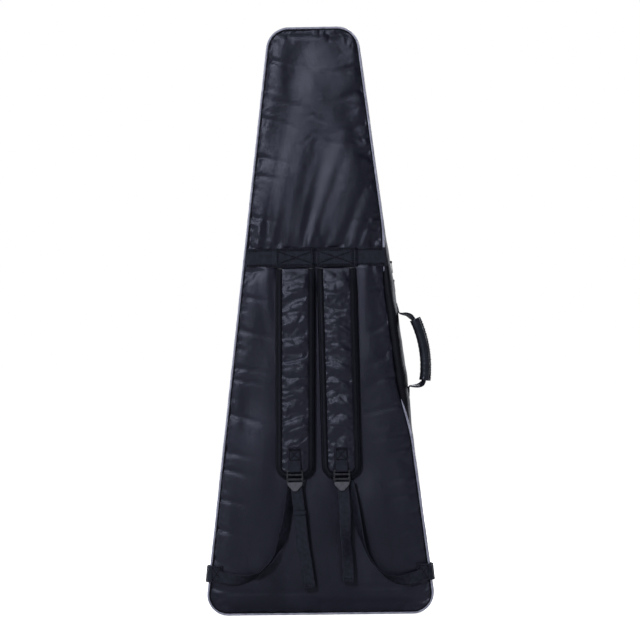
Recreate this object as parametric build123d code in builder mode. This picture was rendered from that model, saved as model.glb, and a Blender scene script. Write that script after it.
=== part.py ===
"""Padded gig bag for a pointed-body electric guitar, standing on its foot.

Millimetres. +Z runs from the foot to the head, -Y faces the wearer's back (strap side), +X is the
handle side. The origin is the middle of the foot, on the surface that the bag stands on.
"""

from build123d import *
import os
from math import atan, cos, radians, sin, tan

os.makedirs("parts", exist_ok=True)

# Outline of the bag, seen from the strap side
HEIGHT = 1180.0
HALF_FOOT = 233.0
HALF_HEAD = 89.0
FOOT_RADIUS = 42.0
HEAD_RADIUS = 46.0
SLOPE = (HALF_FOOT - HALF_HEAD) / HEIGHT
TILT = atan(SLOPE)
FOOT_CUT = 52.0
HEAD_CUT = 1128.0

# Depth, from the middle of the bag to the outer faces of its panels
HALF_DEPTH = 37.0
CLOTH = 1.2
LINING = 0.8
PANEL_FOAM = 10.0
WALL_FOAM = 5.0
PIPING = 5.0

# Zip round the foot, the handle side and the head
ZIP_Y = 12.0
ZIP_GAP = 1.2
TAPE_WIDTH = 9.0
COIL_WIDTH = 2.8
COIL_DEPTH = 2.0
SLIDER_LENGTH = 18.0
SLIDER_WIDTH = 13.0
PLATE = 1.6
PIN_LIFT = 4.6
PIN_RADIUS = 0.8
PULL_LENGTH = 22.0
LOWER_SLIDER_Z = 668.0
UPPER_SLIDER_Z = 706.0

# Front accessory pocket
POCKET_FOOT = 60.0
POCKET_HEAD = 560.0
POCKET_MARGIN = 45.0
POCKET_DEPTH = 22.0
POCKET_ZIP_Z = 530.0
POCKET_MOUTH = 210.0
MOUTH_HEIGHT = 20.0

# Shoulder straps
YOKE_FOOT = 698.0
YOKE_HEIGHT = 38.0
WEBBING = 1.8
PAD_TOP = 696.0
PAD_FOOT = 274.0
PAD_WIDTH = 77.0
PAD_TOP_MIDDLE = 41.0
PAD_FOOT_MIDDLE = 47.0
PAD_BACK = HALF_DEPTH + 2.5
PAD_FOAM = 10.5
PAD_CLOTH = 1.2
PAD_BACKING = 1.0
PAD_CORNER = 26.0
BINDING = 10.0
BINDING_PLY = 1.0
PAD_FRONT = PAD_BACK + PAD_BACKING + PAD_FOAM + PAD_CLOTH + BINDING_PLY
STRAP_WEB = 25.0
BAR_Z = 290.5
BAR_RADIUS = 1.5
EYE_RADIUS = 3.6
BAR_Y = -(PAD_FRONT + EYE_RADIUS + 0.4)
BUCKLE_WIDTH = 34.0
BUCKLE_THICK = 4.0
BUCKLE_FOOT = 255.0
ANCHOR_Z = 85.0
ANCHOR_HEIGHT = 33.0
PATCH_TOP = 336.0

# Carry handle on the side wall
HANDLE_FOOT_Z = 455.0
HANDLE_SPAN = 149.0
HANDLE_Y = -10.0
HANDLE_WEB = 25.0
GRIP_RADIUS = 11.0

UP_SIDE = Vector(-sin(TILT), 0, cos(TILT))
OUT_SIDE = Vector(cos(TILT), 0, sin(TILT))


def half_width(z):
    """Half of the bag's width at height z, over its outer cloth."""
    return HALF_FOOT - SLOPE * z


def facing_back(y):
    """Sketch plane at depth y whose normal points to the strap side."""
    return Plane.XZ.offset(-y)


def side_plane(z, y=0.0):
    """Plane on the handle-side wall: x down the wall, y to the front, z outwards."""
    return Plane(origin=(half_width(z), y, z), x_dir=-UP_SIDE, z_dir=OUT_SIDE)


def keep(made, name):
    """Labels a finished piece and writes its file."""
    made.part.label = name
    export_step(made.part, f"parts/{name}.step")


def outline(inset):
    """The bag's rounded outline, drawn in from its outer cloth by inset."""
    with BuildSketch(mode=Mode.PRIVATE) as shape:
        with BuildLine():
            Polyline(
                (-HALF_FOOT, 0), (HALF_FOOT, 0), (HALF_HEAD, HEIGHT), (-HALF_HEAD, HEIGHT), close=True
            )
        make_face()
        fillet(shape.vertices().group_by(Axis.Y)[0], FOOT_RADIUS)
        fillet(shape.vertices().group_by(Axis.Y)[-1], HEAD_RADIUS)
        if inset > 0:
            offset(amount=-inset)
    return shape.sketch


def layer(y_front, y_back, outer, inner=None, wall="all"):
    """A slab of the outline between two depths, or with inner a ring of wall, cut to one side."""
    rim = outline(outer)
    hollow = outline(inner) if inner else None
    with BuildPart() as made:
        with BuildSketch(facing_back(y_front)):
            add(rim)
            if hollow:
                add(hollow, mode=Mode.SUBTRACT)
        extrude(amount=y_front - y_back)
        if wall in ("left", "right", "foot"):
            split(bisect_by=Plane.XY.offset(HEAD_CUT), keep=Keep.BOTTOM)
        if wall in ("left", "right", "head"):
            split(bisect_by=Plane.XY.offset(FOOT_CUT), keep=Keep.TOP)
        if wall == "foot":
            split(bisect_by=Plane.XY.offset(FOOT_CUT), keep=Keep.BOTTOM)
        if wall == "head":
            split(bisect_by=Plane.XY.offset(HEAD_CUT), keep=Keep.TOP)
        if wall == "left":
            split(bisect_by=Plane.YZ, keep=Keep.BOTTOM)
        if wall == "right":
            split(bisect_by=Plane.YZ, keep=Keep.TOP)
        if wall == "zipped":
            with Locations((-HALF_FOOT / 2, 0, (FOOT_CUT + HEAD_CUT) / 2)):
                Box(HALF_FOOT, HALF_FOOT, HEAD_CUT - FOOT_CUT, mode=Mode.SUBTRACT)
    return made


def bend_radii(points):
    """The largest fillet radius that the two runs at each corner of a route allow."""
    radii = []
    for before, corner, after in zip(points, points[1:], points[2:]):
        run_in = Vector(*corner) - Vector(*before)
        run_out = Vector(*after) - Vector(*corner)
        half_turn = radians(run_in.get_angle(run_out)) / 2
        radii.append(0.45 * min(run_in.length, run_out.length) / tan(half_turn))
    return radii


def ribbon(points, width, y_front, thick):
    """Flat webbing along a route of (x, z) points, lying parallel to the back panel."""
    radii = bend_radii(points)
    print("webbing radii", [round(r) for r in radii])
    with BuildPart() as made:
        with BuildSketch(facing_back(y_front)):
            with BuildLine() as route:
                if radii:
                    FilletPolyline(*points, radius=radii)
                else:
                    Line(*points)
            print("webbing length", round(route.wires()[0].length))
            trace(line_width=width)
        extrude(amount=thick)
    return made


def panels_and_walls():
    """Back shell and front cover: cloth, foam and lining of each panel and of the wall round it."""
    panel_cloth = HALF_DEPTH - 1
    inner_face = panel_cloth - PANEL_FOAM
    wall_edge = HALF_DEPTH - PIPING
    wall_inset = CLOTH + WALL_FOAM
    tape_back = ZIP_Y - TAPE_WIDTH
    tape_front = ZIP_Y + TAPE_WIDTH
    foam_back = tape_back + 1
    foam_front = tape_front - 1
    keep(layer(-panel_cloth, -HALF_DEPTH, PIPING), "back_panel_cloth")
    keep(layer(-inner_face, -panel_cloth, PIPING + 0.2), "back_panel_foam")
    keep(layer(-inner_face + LINING, -inner_face, wall_inset), "back_panel_lining")
    keep(layer(HALF_DEPTH, panel_cloth, PIPING), "front_panel_cloth")
    keep(layer(panel_cloth, inner_face, PIPING + 0.2), "front_panel_foam")
    keep(layer(inner_face, inner_face - LINING, wall_inset), "front_panel_lining")
    for wall in ("left", "right", "head", "foot"):
        keep(layer(tape_back, -wall_edge, 0, CLOTH, wall), f"shell_{wall}_wall")
        keep(layer(wall_edge, tape_front, 0, CLOTH, wall), f"cover_{wall}_wall")
    keep(layer(foam_back, -inner_face, CLOTH, wall_inset), "shell_wall_foam")
    keep(layer(inner_face, foam_front, CLOTH, wall_inset), "cover_wall_foam")
    lined = wall_inset + LINING
    keep(layer(foam_back, -inner_face + LINING, wall_inset, lined), "shell_wall_lining")
    keep(layer(inner_face - LINING, foam_front, wall_inset, lined), "cover_wall_lining")


def piping(y, name):
    """Round cord in a cloth sleeve, sewn all round the edge of a panel."""
    radius = PIPING / 2
    line = outline(radius)
    path = facing_back(y).location * line.face().outer_wire()
    start = path.position_at(0)
    with BuildPart() as made:
        with BuildSketch(Plane(origin=start, z_dir=path.tangent_at(0))):
            Circle(radius)
        sweep(path=path)
    keep(made, name)


def zip_halves():
    """Tapes and coils along the foot, the handle side and the head, and the hinge strip opposite."""
    half_gap = ZIP_GAP / 2
    behind = ZIP_Y - half_gap
    before = ZIP_Y + half_gap
    deep = CLOTH + COIL_DEPTH
    keep(layer(behind, ZIP_Y - TAPE_WIDTH, 0.2, CLOTH, "zipped"), "shell_zip_tape")
    keep(layer(ZIP_Y + TAPE_WIDTH, before, 0.2, CLOTH, "zipped"), "cover_zip_tape")
    keep(layer(behind, behind - COIL_WIDTH, CLOTH, deep, "zipped"), "shell_zip_coil")
    keep(layer(before + COIL_WIDTH, before, CLOTH, deep, "zipped"), "cover_zip_coil")
    keep(layer(ZIP_Y + TAPE_WIDTH, ZIP_Y - TAPE_WIDTH, 0.2, CLOTH, "left"), "hinge_strip")


def slider(plane, length, width, name):
    """Zip slider: outer plate, inner plate, the neck between the coils, and lugs with the pull's pin."""
    inner_plate = 1.4
    clearance = 0.4
    coil_floor = CLOTH + COIL_DEPTH + clearance
    blade = 0.8
    neck = (length / 3, blade) if length > width else (blade, width / 3)
    lug = 1.4
    lug_gap = 3.8
    with BuildPart(plane) as made:
        with Locations((0, 0, clearance + PLATE / 2)):
            Box(length, width, PLATE)
        fillet(made.edges().filter_by(Axis(plane.origin, plane.z_dir)), 3)
        with Locations((0, 0, -coil_floor - inner_plate / 2)):
            Box(length - 2, width - 2, inner_plate)
        with Locations((0, 0, (clearance - coil_floor) / 2)):
            Box(*neck, clearance + coil_floor)
        for side in (-1, 1):
            with Locations((0, side * (lug_gap + lug) / 2, clearance + PLATE + PIN_LIFT / 2 - 0.6)):
                Box(5, lug, PIN_LIFT - 0.4)
        with Locations(Location((0, 0, PIN_LIFT), (90, 0, 0))):
            Cylinder(PIN_RADIUS, lug_gap + 2 * lug)
    keep(made, name)


def pull(plane, name):
    """Pull tab that hangs from a slider's pin."""
    eye_radius = 1.9
    eye_width = 3.2
    thick = 1.3
    tab_width = 8.0
    with BuildPart(plane) as made:
        with Locations(Location((0, 0, PIN_LIFT), (90, 0, 0))):
            Cylinder(eye_radius, eye_width)
        with Locations((5.5, 0, PIN_LIFT)):
            Box(9, eye_width, thick)
        with Locations((PULL_LENGTH - 6.5, 0, PIN_LIFT)):
            Box(13, tab_width, thick)
        fillet(made.edges().filter_by(Axis(plane.origin, plane.z_dir)).sort_by(
            Axis(plane.origin, plane.x_dir))[-2:], 2.5)
        with Locations(Location((0, 0, PIN_LIFT), (90, 0, 0))):
            Cylinder(PIN_RADIUS + 0.3, 2 * eye_width, mode=Mode.SUBTRACT)
    keep(made, name)


def pocket():
    """Accessory pocket on the front panel, with a zip across its top."""
    face_y = HALF_DEPTH + POCKET_DEPTH
    foot_half = half_width(POCKET_FOOT) - POCKET_MARGIN
    head_half = half_width(POCKET_HEAD) - POCKET_MARGIN
    corner = 24.0
    with BuildSketch() as shape:
        with BuildLine():
            Polyline(
                (-foot_half, POCKET_FOOT), (foot_half, POCKET_FOOT),
                (head_half, POCKET_HEAD), (-head_half, POCKET_HEAD), close=True
            )
        make_face()
        fillet(shape.vertices(), corner)
    with BuildPart() as wall:
        with BuildSketch(facing_back(face_y - CLOTH)):
            add(shape.sketch)
            offset(amount=-CLOTH, mode=Mode.SUBTRACT)
        extrude(amount=POCKET_DEPTH - CLOTH)
    keep(wall, "pocket_wall")
    with BuildPart() as face:
        with BuildSketch(facing_back(face_y)):
            add(shape.sketch)
            with Locations((0, POCKET_ZIP_Z)):
                Rectangle(POCKET_MOUTH, MOUTH_HEIGHT, mode=Mode.SUBTRACT)
        extrude(amount=CLOTH)
    keep(face, "pocket_panel")
    strip = (MOUTH_HEIGHT - ZIP_GAP) / 2
    with BuildPart() as tape:
        for side in (-1, 1):
            with Locations((0, face_y - CLOTH / 2, POCKET_ZIP_Z + side * (ZIP_GAP + strip) / 2)):
                Box(POCKET_MOUTH, CLOTH - 0.2, strip)
    keep(tape, "pocket_zip_tape")
    with BuildPart() as coil:
        for side in (-1, 1):
            z = POCKET_ZIP_Z + side * (ZIP_GAP + COIL_WIDTH) / 2
            with Locations((0, face_y - CLOTH - COIL_DEPTH / 2, z)):
                Box(POCKET_MOUTH, COIL_DEPTH, COIL_WIDTH)
    keep(coil, "pocket_zip_coil")
    plane = Plane(
        origin=(-POCKET_MOUTH / 2 + SLIDER_LENGTH, face_y, POCKET_ZIP_Z), x_dir=(0, 0, -1), z_dir=(0, 1, 0)
    )
    slider(plane, SLIDER_WIDTH, SLIDER_LENGTH, "pocket_slider")
    pull(plane, "pocket_pull")


def main_zip_sliders():
    """Two sliders on the straight handle side, each with its hanging pull."""
    for name, z in (("lower", LOWER_SLIDER_Z), ("upper", UPPER_SLIDER_Z)):
        plane = side_plane(z, ZIP_Y)
        slider(plane, SLIDER_LENGTH, SLIDER_WIDTH, f"{name}_slider")
        pull(plane, f"{name}_pull")


def inside():
    """Neck cradle with its strap, and the bumper pad under the instrument's tail."""
    floor_y = -(HALF_DEPTH - 1 - PANEL_FOAM - LINING)
    cradle_z = 830.0
    cradle = (90.0, 34.0, 60.0)
    groove = 22.0
    with BuildPart() as block:
        with Locations((0, floor_y + cradle[1] / 2, cradle_z)):
            Box(*cradle)
        with Locations((0, floor_y + cradle[1], cradle_z)):
            Cylinder(groove, cradle[2], mode=Mode.SUBTRACT)
        fillet(block.edges().filter_by(Axis.Z).sort_by(Axis.X)[0::5], 5)
    keep(block, "neck_cradle")
    with BuildPart() as strap:
        with Locations((0, floor_y + cradle[1] + WEBBING / 2, cradle_z)):
            Box(cradle[0], WEBBING, STRAP_WEB)
    keep(strap, "neck_strap")
    inner_foot = CLOTH + WALL_FOAM + LINING
    pad = (300.0, 2 * 23.0, 14.0)
    with BuildPart() as bumper:
        with Locations((0, 0, inner_foot + pad[2] / 2)):
            Box(*pad)
        fillet(bumper.edges().filter_by(Axis.Y), 5)
    keep(bumper, "foot_bumper")


def yoke():
    """Webbing band across the back panel, over the upper ends of both straps."""
    ends = []
    for z in (YOKE_FOOT, YOKE_FOOT + YOKE_HEIGHT):
        ends.append((half_width(z) - PIPING, z))
    with BuildPart() as band:
        with BuildSketch(facing_back(-HALF_DEPTH)):
            with BuildLine():
                Polyline(
                    (-ends[0][0], ends[0][1]), ends[0], ends[1], (-ends[1][0], ends[1][1]), close=True
                )
            make_face()
        extrude(amount=WEBBING)
    keep(band, "yoke_band")


def pad_outline(side, inset):
    """Outline of one strap pad on its plane: straight top, rounded foot, leaning outwards a little."""
    half = PAD_WIDTH / 2
    top = side * PAD_TOP_MIDDLE
    foot = side * PAD_FOOT_MIDDLE
    with BuildSketch(mode=Mode.PRIVATE) as shape:
        with BuildLine():
            Polyline(
                (foot - half, PAD_FOOT), (foot + half, PAD_FOOT),
                (top + half, PAD_TOP), (top - half, PAD_TOP), close=True
            )
        make_face()
        fillet(shape.vertices().group_by(Axis.Y)[0], PAD_CORNER)
        if inset > 0:
            offset(amount=-inset)
    return shape.sketch


def strap(side, name):
    """One shoulder strap: backing mesh, foam, face cloth, binding, and the webbing patch at its foot."""
    edge = 1.5
    rim = pad_outline(side, 0)
    body = pad_outline(side, edge)
    face = pad_outline(side, BINDING)
    layers = (("backing", PAD_BACKING), ("foam", PAD_FOAM), ("cloth", PAD_CLOTH))
    y = -PAD_BACK
    for what, thick in layers:
        with BuildPart() as slab:
            with BuildSketch(facing_back(y)):
                add(body)
            extrude(amount=thick)
        keep(slab, f"{name}_pad_{what}")
        y -= thick
    with BuildPart() as binding:
        with BuildSketch(facing_back(-PAD_BACK)):
            add(rim)
            add(body, mode=Mode.SUBTRACT)
        extrude(amount=-y - PAD_BACK)
        with BuildSketch(facing_back(y)):
            add(rim)
            add(face, mode=Mode.SUBTRACT)
        extrude(amount=BINDING_PLY)
    keep(binding, f"{name}_pad_binding")
    middle = side * PAD_FOOT_MIDDLE
    with BuildPart() as patch:
        with Locations((middle, -PAD_FRONT - WEBBING / 2, (PATCH_TOP + BAR_Z) / 2)):
            Box(STRAP_WEB, WEBBING, PATCH_TOP - BAR_Z)
        with Locations(Location((middle, BAR_Y, BAR_Z), (0, 90, 0))):
            Cylinder(EYE_RADIUS, STRAP_WEB)
            Cylinder(BAR_RADIUS + 0.4, STRAP_WEB + 2, mode=Mode.SUBTRACT)
    keep(patch, f"{name}_strap_patch")
    buckle(middle, name)


def buckle(middle, name):
    """Ladder-lock buckle: round top bar, two side rails, two crossbars and a pointed finger tab."""
    rail = 3.4
    bars = ((BUCKLE_FOOT + 14, 4.5), (BUCKLE_FOOT + 2.5, 5.0))
    inner = BUCKLE_WIDTH - 2 * rail
    with BuildPart() as made:
        for side in (-1, 1):
            with Locations((middle + side * (BUCKLE_WIDTH - rail) / 2, BAR_Y, (BAR_Z + BUCKLE_FOOT) / 2)):
                Box(rail, BUCKLE_THICK, BAR_Z - BUCKLE_FOOT + 2 * BAR_RADIUS)
        fillet(made.edges().filter_by(Axis.Y), 1.2)
        with Locations(Location((middle, BAR_Y, BAR_Z), (0, 90, 0))):
            Cylinder(BAR_RADIUS, BUCKLE_WIDTH - rail)
        for z, height in bars:
            with Locations((middle, BAR_Y, z)):
                Box(inner + 1, BUCKLE_THICK, height)
        with BuildSketch(facing_back(BAR_Y + BUCKLE_THICK / 2)):
            with BuildLine():
                Polyline(
                    (middle - 10, BUCKLE_FOOT + 2), (middle + 10, BUCKLE_FOOT + 2),
                    (middle + 4, BUCKLE_FOOT - 6), (middle - 4, BUCKLE_FOOT - 6), close=True
                )
            make_face()
        extrude(amount=BUCKLE_THICK)
    keep(made, f"{name}_buckle")


def loose_webbing():
    """Tails that hang from the buckles, and the runs from the buckles down to the side anchors."""
    tail_y = BAR_Y - BUCKLE_THICK / 2 - 0.6
    keep(ribbon([(-44, 265), (-38, 205), (-33, 150), (-23, 100), (-20, 55)],
                STRAP_WEB - 1, tail_y, WEBBING), "left_tail")
    keep(ribbon([(48, 265), (52, 212), (53, 160), (58, 112), (57, 67)],
                STRAP_WEB - 1, tail_y, WEBBING), "right_tail")
    run_y = -(HALF_DEPTH + 3.0)
    keep(ribbon([(-56, 268), (-64, 222), (-69, 170), (-88, 118), (-126, 80), (-174, 71), (-217, 85)],
                STRAP_WEB - 1, run_y, WEBBING), "left_lower_web")
    keep(ribbon([(66, 268), (75, 222), (80, 172), (98, 116), (131, 76), (176, 67), (218, 85)],
                STRAP_WEB - 1, run_y, WEBBING), "right_lower_web")


def anchors():
    """Folded webbing tabs that hold the lower runs at both edges of the bag."""
    reach = 24.0
    stand = 6.0
    depth = (HALF_DEPTH + 3.0, 18.0)
    edge = half_width(ANCHOR_Z)
    for side, name in ((-1, "left"), (1, "right")):
        with BuildPart() as tab:
            with Locations((side * (edge + 1 - reach / 2), -(depth[0] + HALF_DEPTH) / 2, ANCHOR_Z)):
                Box(reach + 6, depth[0] - HALF_DEPTH, ANCHOR_HEIGHT)
            with Locations((side * (edge + 2.2 + stand / 2), -(depth[0] + depth[1]) / 2, ANCHOR_Z)):
                Box(stand, depth[0] - depth[1], ANCHOR_HEIGHT)
        keep(tab, f"{name}_anchor_tab")


def handle():
    """Side carry handle: sewn end patches on the wall, webbing legs, and the wrapped grip."""
    patch_length = 34.0
    patch = 1.6
    patch_overlap = 6.0
    root = patch + 1.8
    plane = Plane(
        origin=(half_width(HANDLE_FOOT_Z), HANDLE_Y, HANDLE_FOOT_Z), x_dir=UP_SIDE, z_dir=(0, 1, 0)
    )
    span = HANDLE_SPAN
    with BuildPart(plane) as patches:
        for s in (-patch_length / 2 + patch_overlap, span + patch_length / 2 - patch_overlap):
            with Locations((s, patch / 2, 0)):
                Box(patch_length, patch, HANDLE_WEB)
    keep(patches, "handle_patches")
    leg = 2.6
    with BuildPart() as legs:
        with BuildSketch(plane.offset(-HANDLE_WEB / 2)):
            with BuildLine():
                FilletPolyline((0, root), (-1, 26), (5, 38.5), radius=12)
            trace(line_width=leg)
            with BuildLine():
                FilletPolyline((span, root), (span - 3, 20), (span - 15, 34), radius=14)
            trace(line_width=leg)
        extrude(amount=HANDLE_WEB)
    keep(legs, "handle_legs")
    with BuildLine(plane) as arc:
        ThreePointArc((8, 39), (70, 46), (span - 17, 36))
    path = arc.wires()[0]
    with BuildPart() as grip:
        with BuildSketch(Plane(origin=path.position_at(0), z_dir=path.tangent_at(0))):
            Circle(GRIP_RADIUS)
        sweep(path=path)
    keep(grip, "handle_grip")


panels_and_walls()
piping(-(HALF_DEPTH - PIPING / 2), "back_piping")
piping(HALF_DEPTH - PIPING / 2, "front_piping")
zip_halves()
main_zip_sliders()
pocket()
inside()
yoke()
strap(-1, "left")
strap(1, "right")
loose_webbing()
anchors()
handle()
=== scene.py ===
"""Looks of the padded gig bag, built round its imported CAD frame.

Metres, +Z up. The strap side faces -Y, the pocket side +Y, the handle side +X.
"""

import math

import bmesh
import bpy
import numpy as np
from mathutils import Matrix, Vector, noise


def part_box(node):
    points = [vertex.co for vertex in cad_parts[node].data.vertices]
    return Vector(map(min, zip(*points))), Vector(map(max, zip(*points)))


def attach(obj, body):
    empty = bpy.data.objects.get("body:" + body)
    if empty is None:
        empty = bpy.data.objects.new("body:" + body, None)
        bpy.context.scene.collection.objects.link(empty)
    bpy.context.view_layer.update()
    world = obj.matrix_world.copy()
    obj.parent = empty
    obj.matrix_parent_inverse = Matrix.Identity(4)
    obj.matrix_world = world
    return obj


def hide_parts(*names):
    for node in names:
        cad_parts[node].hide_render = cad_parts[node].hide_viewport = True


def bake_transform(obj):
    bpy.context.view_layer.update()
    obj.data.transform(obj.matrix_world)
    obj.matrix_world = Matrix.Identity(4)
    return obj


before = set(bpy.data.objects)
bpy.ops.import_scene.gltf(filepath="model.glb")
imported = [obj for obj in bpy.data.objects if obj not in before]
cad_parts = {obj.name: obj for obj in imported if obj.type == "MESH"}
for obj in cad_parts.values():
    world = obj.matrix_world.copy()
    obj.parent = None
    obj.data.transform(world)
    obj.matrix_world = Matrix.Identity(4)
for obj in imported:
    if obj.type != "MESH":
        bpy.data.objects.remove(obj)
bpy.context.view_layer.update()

MM = 0.001
CLOTH = 1.2 * MM
PIPING = 5.0 * MM
WEB = 1.8 * MM
FOOT_RADIUS = 42 * MM
HEAD_RADIUS = 46 * MM
PAD_WIDTH = 77 * MM
PAD_CORNER = 26 * MM
POCKET_CORNER = 24 * MM

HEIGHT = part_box("back_piping")[1].z
BACK_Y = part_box("back_panel_cloth")[0].y
WALL_LOW, WALL_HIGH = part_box("shell_right_wall")
SLOPE = (WALL_HIGH.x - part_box("shell_head_wall")[1].x) / (WALL_HIGH.z - WALL_LOW.z)
TILT = math.atan(SLOPE)
HALF_FOOT = WALL_HIGH.x + SLOPE * WALL_LOW.z
HALF_HEAD = HALF_FOOT - SLOPE * HEIGHT
YOKE_LOW, YOKE_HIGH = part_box("yoke_band")
PAD_LOW, PAD_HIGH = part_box("right_pad_binding")
POCKET_LOW, POCKET_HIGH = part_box("pocket_panel")
BUCKLE_LOW, BUCKLE_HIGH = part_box("left_buckle")
BAR_Y = (BUCKLE_LOW.y + BUCKLE_HIGH.y) / 2
BAR_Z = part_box("left_strap_patch")[0].z + 3.6 * MM
CROSSWISE = (1, 0, 0)
TO_STRAP_SIDE = (0, -1, 0)


# ---------------------------------------------------------------- outlines

BAG = [(-HALF_FOOT, 0), (HALF_FOOT, 0), (HALF_HEAD, HEIGHT), (-HALF_HEAD, HEIGHT)]
BAG_RADII = (FOOT_RADIUS, FOOT_RADIUS, HEAD_RADIUS, HEAD_RADIUS)
POCKET_RISE = POCKET_HIGH.z - POCKET_LOW.z
POCKET = [(POCKET_LOW.x, POCKET_LOW.z), (POCKET_HIGH.x, POCKET_LOW.z),
          (POCKET_HIGH.x - SLOPE * POCKET_RISE, POCKET_HIGH.z),
          (POCKET_LOW.x + SLOPE * POCKET_RISE, POCKET_HIGH.z)]
POCKET_RADII = (POCKET_CORNER,) * 4


def half_width(z):
    """Half of the bag's width at height z, on its straight sides."""
    return HALF_FOOT - SLOPE * z


def pad_middle(side, z):
    """Where the middle of a strap pad is at height z. side is -1 for the left strap, 1 for the right."""
    top, foot = PAD_LOW.x + PAD_WIDTH / 2, PAD_HIGH.x - PAD_WIDTH / 2
    return side * (foot + (top - foot) * (z - PAD_LOW.z) / (PAD_HIGH.z - PAD_LOW.z))


def pad_corners(side, rise=0.0):
    """Corners of a strap pad, with its top raised by rise so that an inset piece still ends at the top."""
    head = PAD_HIGH.z + rise
    foot, top = pad_middle(side, PAD_LOW.z), pad_middle(side, head)
    half = PAD_WIDTH / 2
    return [(foot - half, PAD_LOW.z), (foot + half, PAD_LOW.z), (top + half, head), (top - half, head)]


PAD_RADII = (PAD_CORNER, PAD_CORNER, 1.5 * MM, 1.5 * MM)


def corner_ways(points, i):
    """A corner of an outline, and the directions from it back along one side and ahead along the next."""
    corner = np.array(points[i], float)
    back = np.array(points[i - 1]) - corner
    ahead = np.array(points[(i + 1) % len(points)]) - corner
    return corner, back / np.linalg.norm(back), ahead / np.linalg.norm(ahead)


def four_curves(corners, radii, inset=0.0):
    """A four-sided outline with rounded corners, drawn in by inset, as its foot, right, head and left
    curves. Each ends in the middle of a corner; foot and head run towards +X, the sides upwards."""
    halves = []
    for i in range(4):
        corner, back, ahead = corner_ways(corners, i)
        middle = back + ahead
        middle /= np.linalg.norm(middle)
        sine = math.sqrt((1 - back @ ahead) / 2)
        radius = max(radii[i] - inset, 0.5 * MM)
        centre = corner + middle * (inset + radius) / sine
        half_turn = math.acos(sine)
        arc = []
        for k in range(-8, 9):
            a = half_turn * k / 8
            c, s = math.cos(a), math.sin(a)
            way = np.array((c * middle[0] - s * middle[1], s * middle[0] + c * middle[1]))
            arc.append(centre - radius * way)
        halves.append((arc[:9], arc[8:]))
    foot = halves[0][1] + halves[1][0]
    right = halves[1][1] + halves[2][0]
    head = halves[2][1] + halves[3][0]
    left = halves[3][1] + halves[0][0]
    return np.array(foot), np.array(right), np.array(head[::-1]), np.array(left[::-1])


def run_lengths(line):
    """How far along a line each of its points is."""
    return np.concatenate([[0], np.cumsum(np.linalg.norm(np.diff(line, axis=0), axis=1))])


def even(line, step):
    """The same line with evenly spaced points, and how far along it each is."""
    line = np.array(line, float)
    along = run_lengths(line)
    at = np.linspace(0, along[-1], max(2, round(along[-1] / step)) + 1)
    return np.stack([np.interp(at, along, line[:, k]) for k in range(line.shape[1])], 1), at


def spread(line, count):
    """That many evenly spaced points on a line."""
    along = run_lengths(line)
    at = np.linspace(0, along[-1], count)
    return np.stack([np.interp(at, along, line[:, k]) for k in range(line.shape[1])], 1)


def rim(corners, radii, inset, step):
    """Evenly spaced points (x, z) all round an outline, from the middle of the foot's left corner towards
    +X, with the outward direction at each."""
    foot, right, head, left = four_curves(corners, radii, inset)
    whole = np.concatenate([foot, right[1:], head[::-1][1:], left[::-1][1:]])
    points = even(whole, step)[0][:-1]
    along = np.roll(points, -1, 0) - np.roll(points, 1, 0)
    along /= np.linalg.norm(along, axis=1)[:, None]
    return points, np.stack([along[:, 1], -along[:, 0]], 1)


def zipped(points, outs):
    """The run of the rim that the zip follows: all but the straight left side, where the cover hinges."""
    hinged = (points[:, 0] < 0) & (points[:, 1] > WALL_LOW.z) & (points[:, 1] < WALL_HIGH.z)
    start = int(np.nonzero(hinged)[0].max()) + 1
    points, outs, hinged = (np.roll(a, -start, 0) for a in (points, outs, hinged))
    return points[~hinged], outs[~hinged]


def hinge_run(inset, step):
    """The straight left side, upwards, with its outward direction."""
    ends = [(-half_width(z) + inset / math.cos(TILT), z) for z in (WALL_LOW.z, WALL_HIGH.z)]
    points = even(ends, step)[0]
    return points, np.array([(-math.cos(TILT), math.sin(TILT))] * len(points))


def filled(corners, radii, inset, step):
    """A grid of points (x, z) that fills an outline, as rows from foot to head."""
    foot, right, head, left = four_curves(corners, radii, inset)
    rows = round((corners[2][1] - corners[1][1]) / step) + 1
    columns = round((corners[1][0] - corners[0][0]) * 0.75 / step) + 1
    foot, head = spread(foot, columns)[None], spread(head, columns)[None]
    left, right = spread(left, rows)[:, None], spread(right, rows)[:, None]
    u = np.linspace(0, 1, columns)[None, :, None]
    v = np.linspace(0, 1, rows)[:, None, None]
    sides = (1 - v) * foot + v * head + (1 - u) * left + u * right
    at_corners = (1 - u) * (1 - v) * foot[:, :1] + u * (1 - v) * foot[:, -1:]
    at_corners = at_corners + (1 - u) * v * head[:, :1] + u * v * head[:, -1:]
    return sides - at_corners


def from_rim(grid, corners, radii, inset):
    """How far each grid point is from the outline."""
    line = rim(corners, radii, inset, 6 * MM)[0]
    flat = grid.reshape(-1, 2)
    near = np.full(len(flat), 9.0)
    for a, b in zip(line, np.roll(line, -1, 0)):
        d = b - a
        t = np.clip(((flat - a) @ d) / (d @ d), 0, 1)
        near = np.minimum(near, np.linalg.norm(flat - a - t[:, None] * d, axis=1))
    return near.reshape(grid.shape[:2])


def ease(value, start, end):
    """0 before start, 1 after end, smooth between."""
    t = np.clip((value - start) / (end - start), 0, 1)
    return t * t * (3 - 2 * t)


def rough(points, scale, seed=0.0):
    """Smooth noise from about -1 to 1 at each point, with features about scale across."""
    flat = np.array(points, float).reshape(-1, np.shape(points)[-1])
    values = []
    for p in flat:
        across = p[1] if len(p) > 2 else 0
        values.append(noise.noise(Vector((p[0] / scale + seed, across / scale - seed, p[-1] / scale))))
    return np.array(values).reshape(np.shape(points)[:-1])


# ---------------------------------------------------------------- meshes

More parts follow.
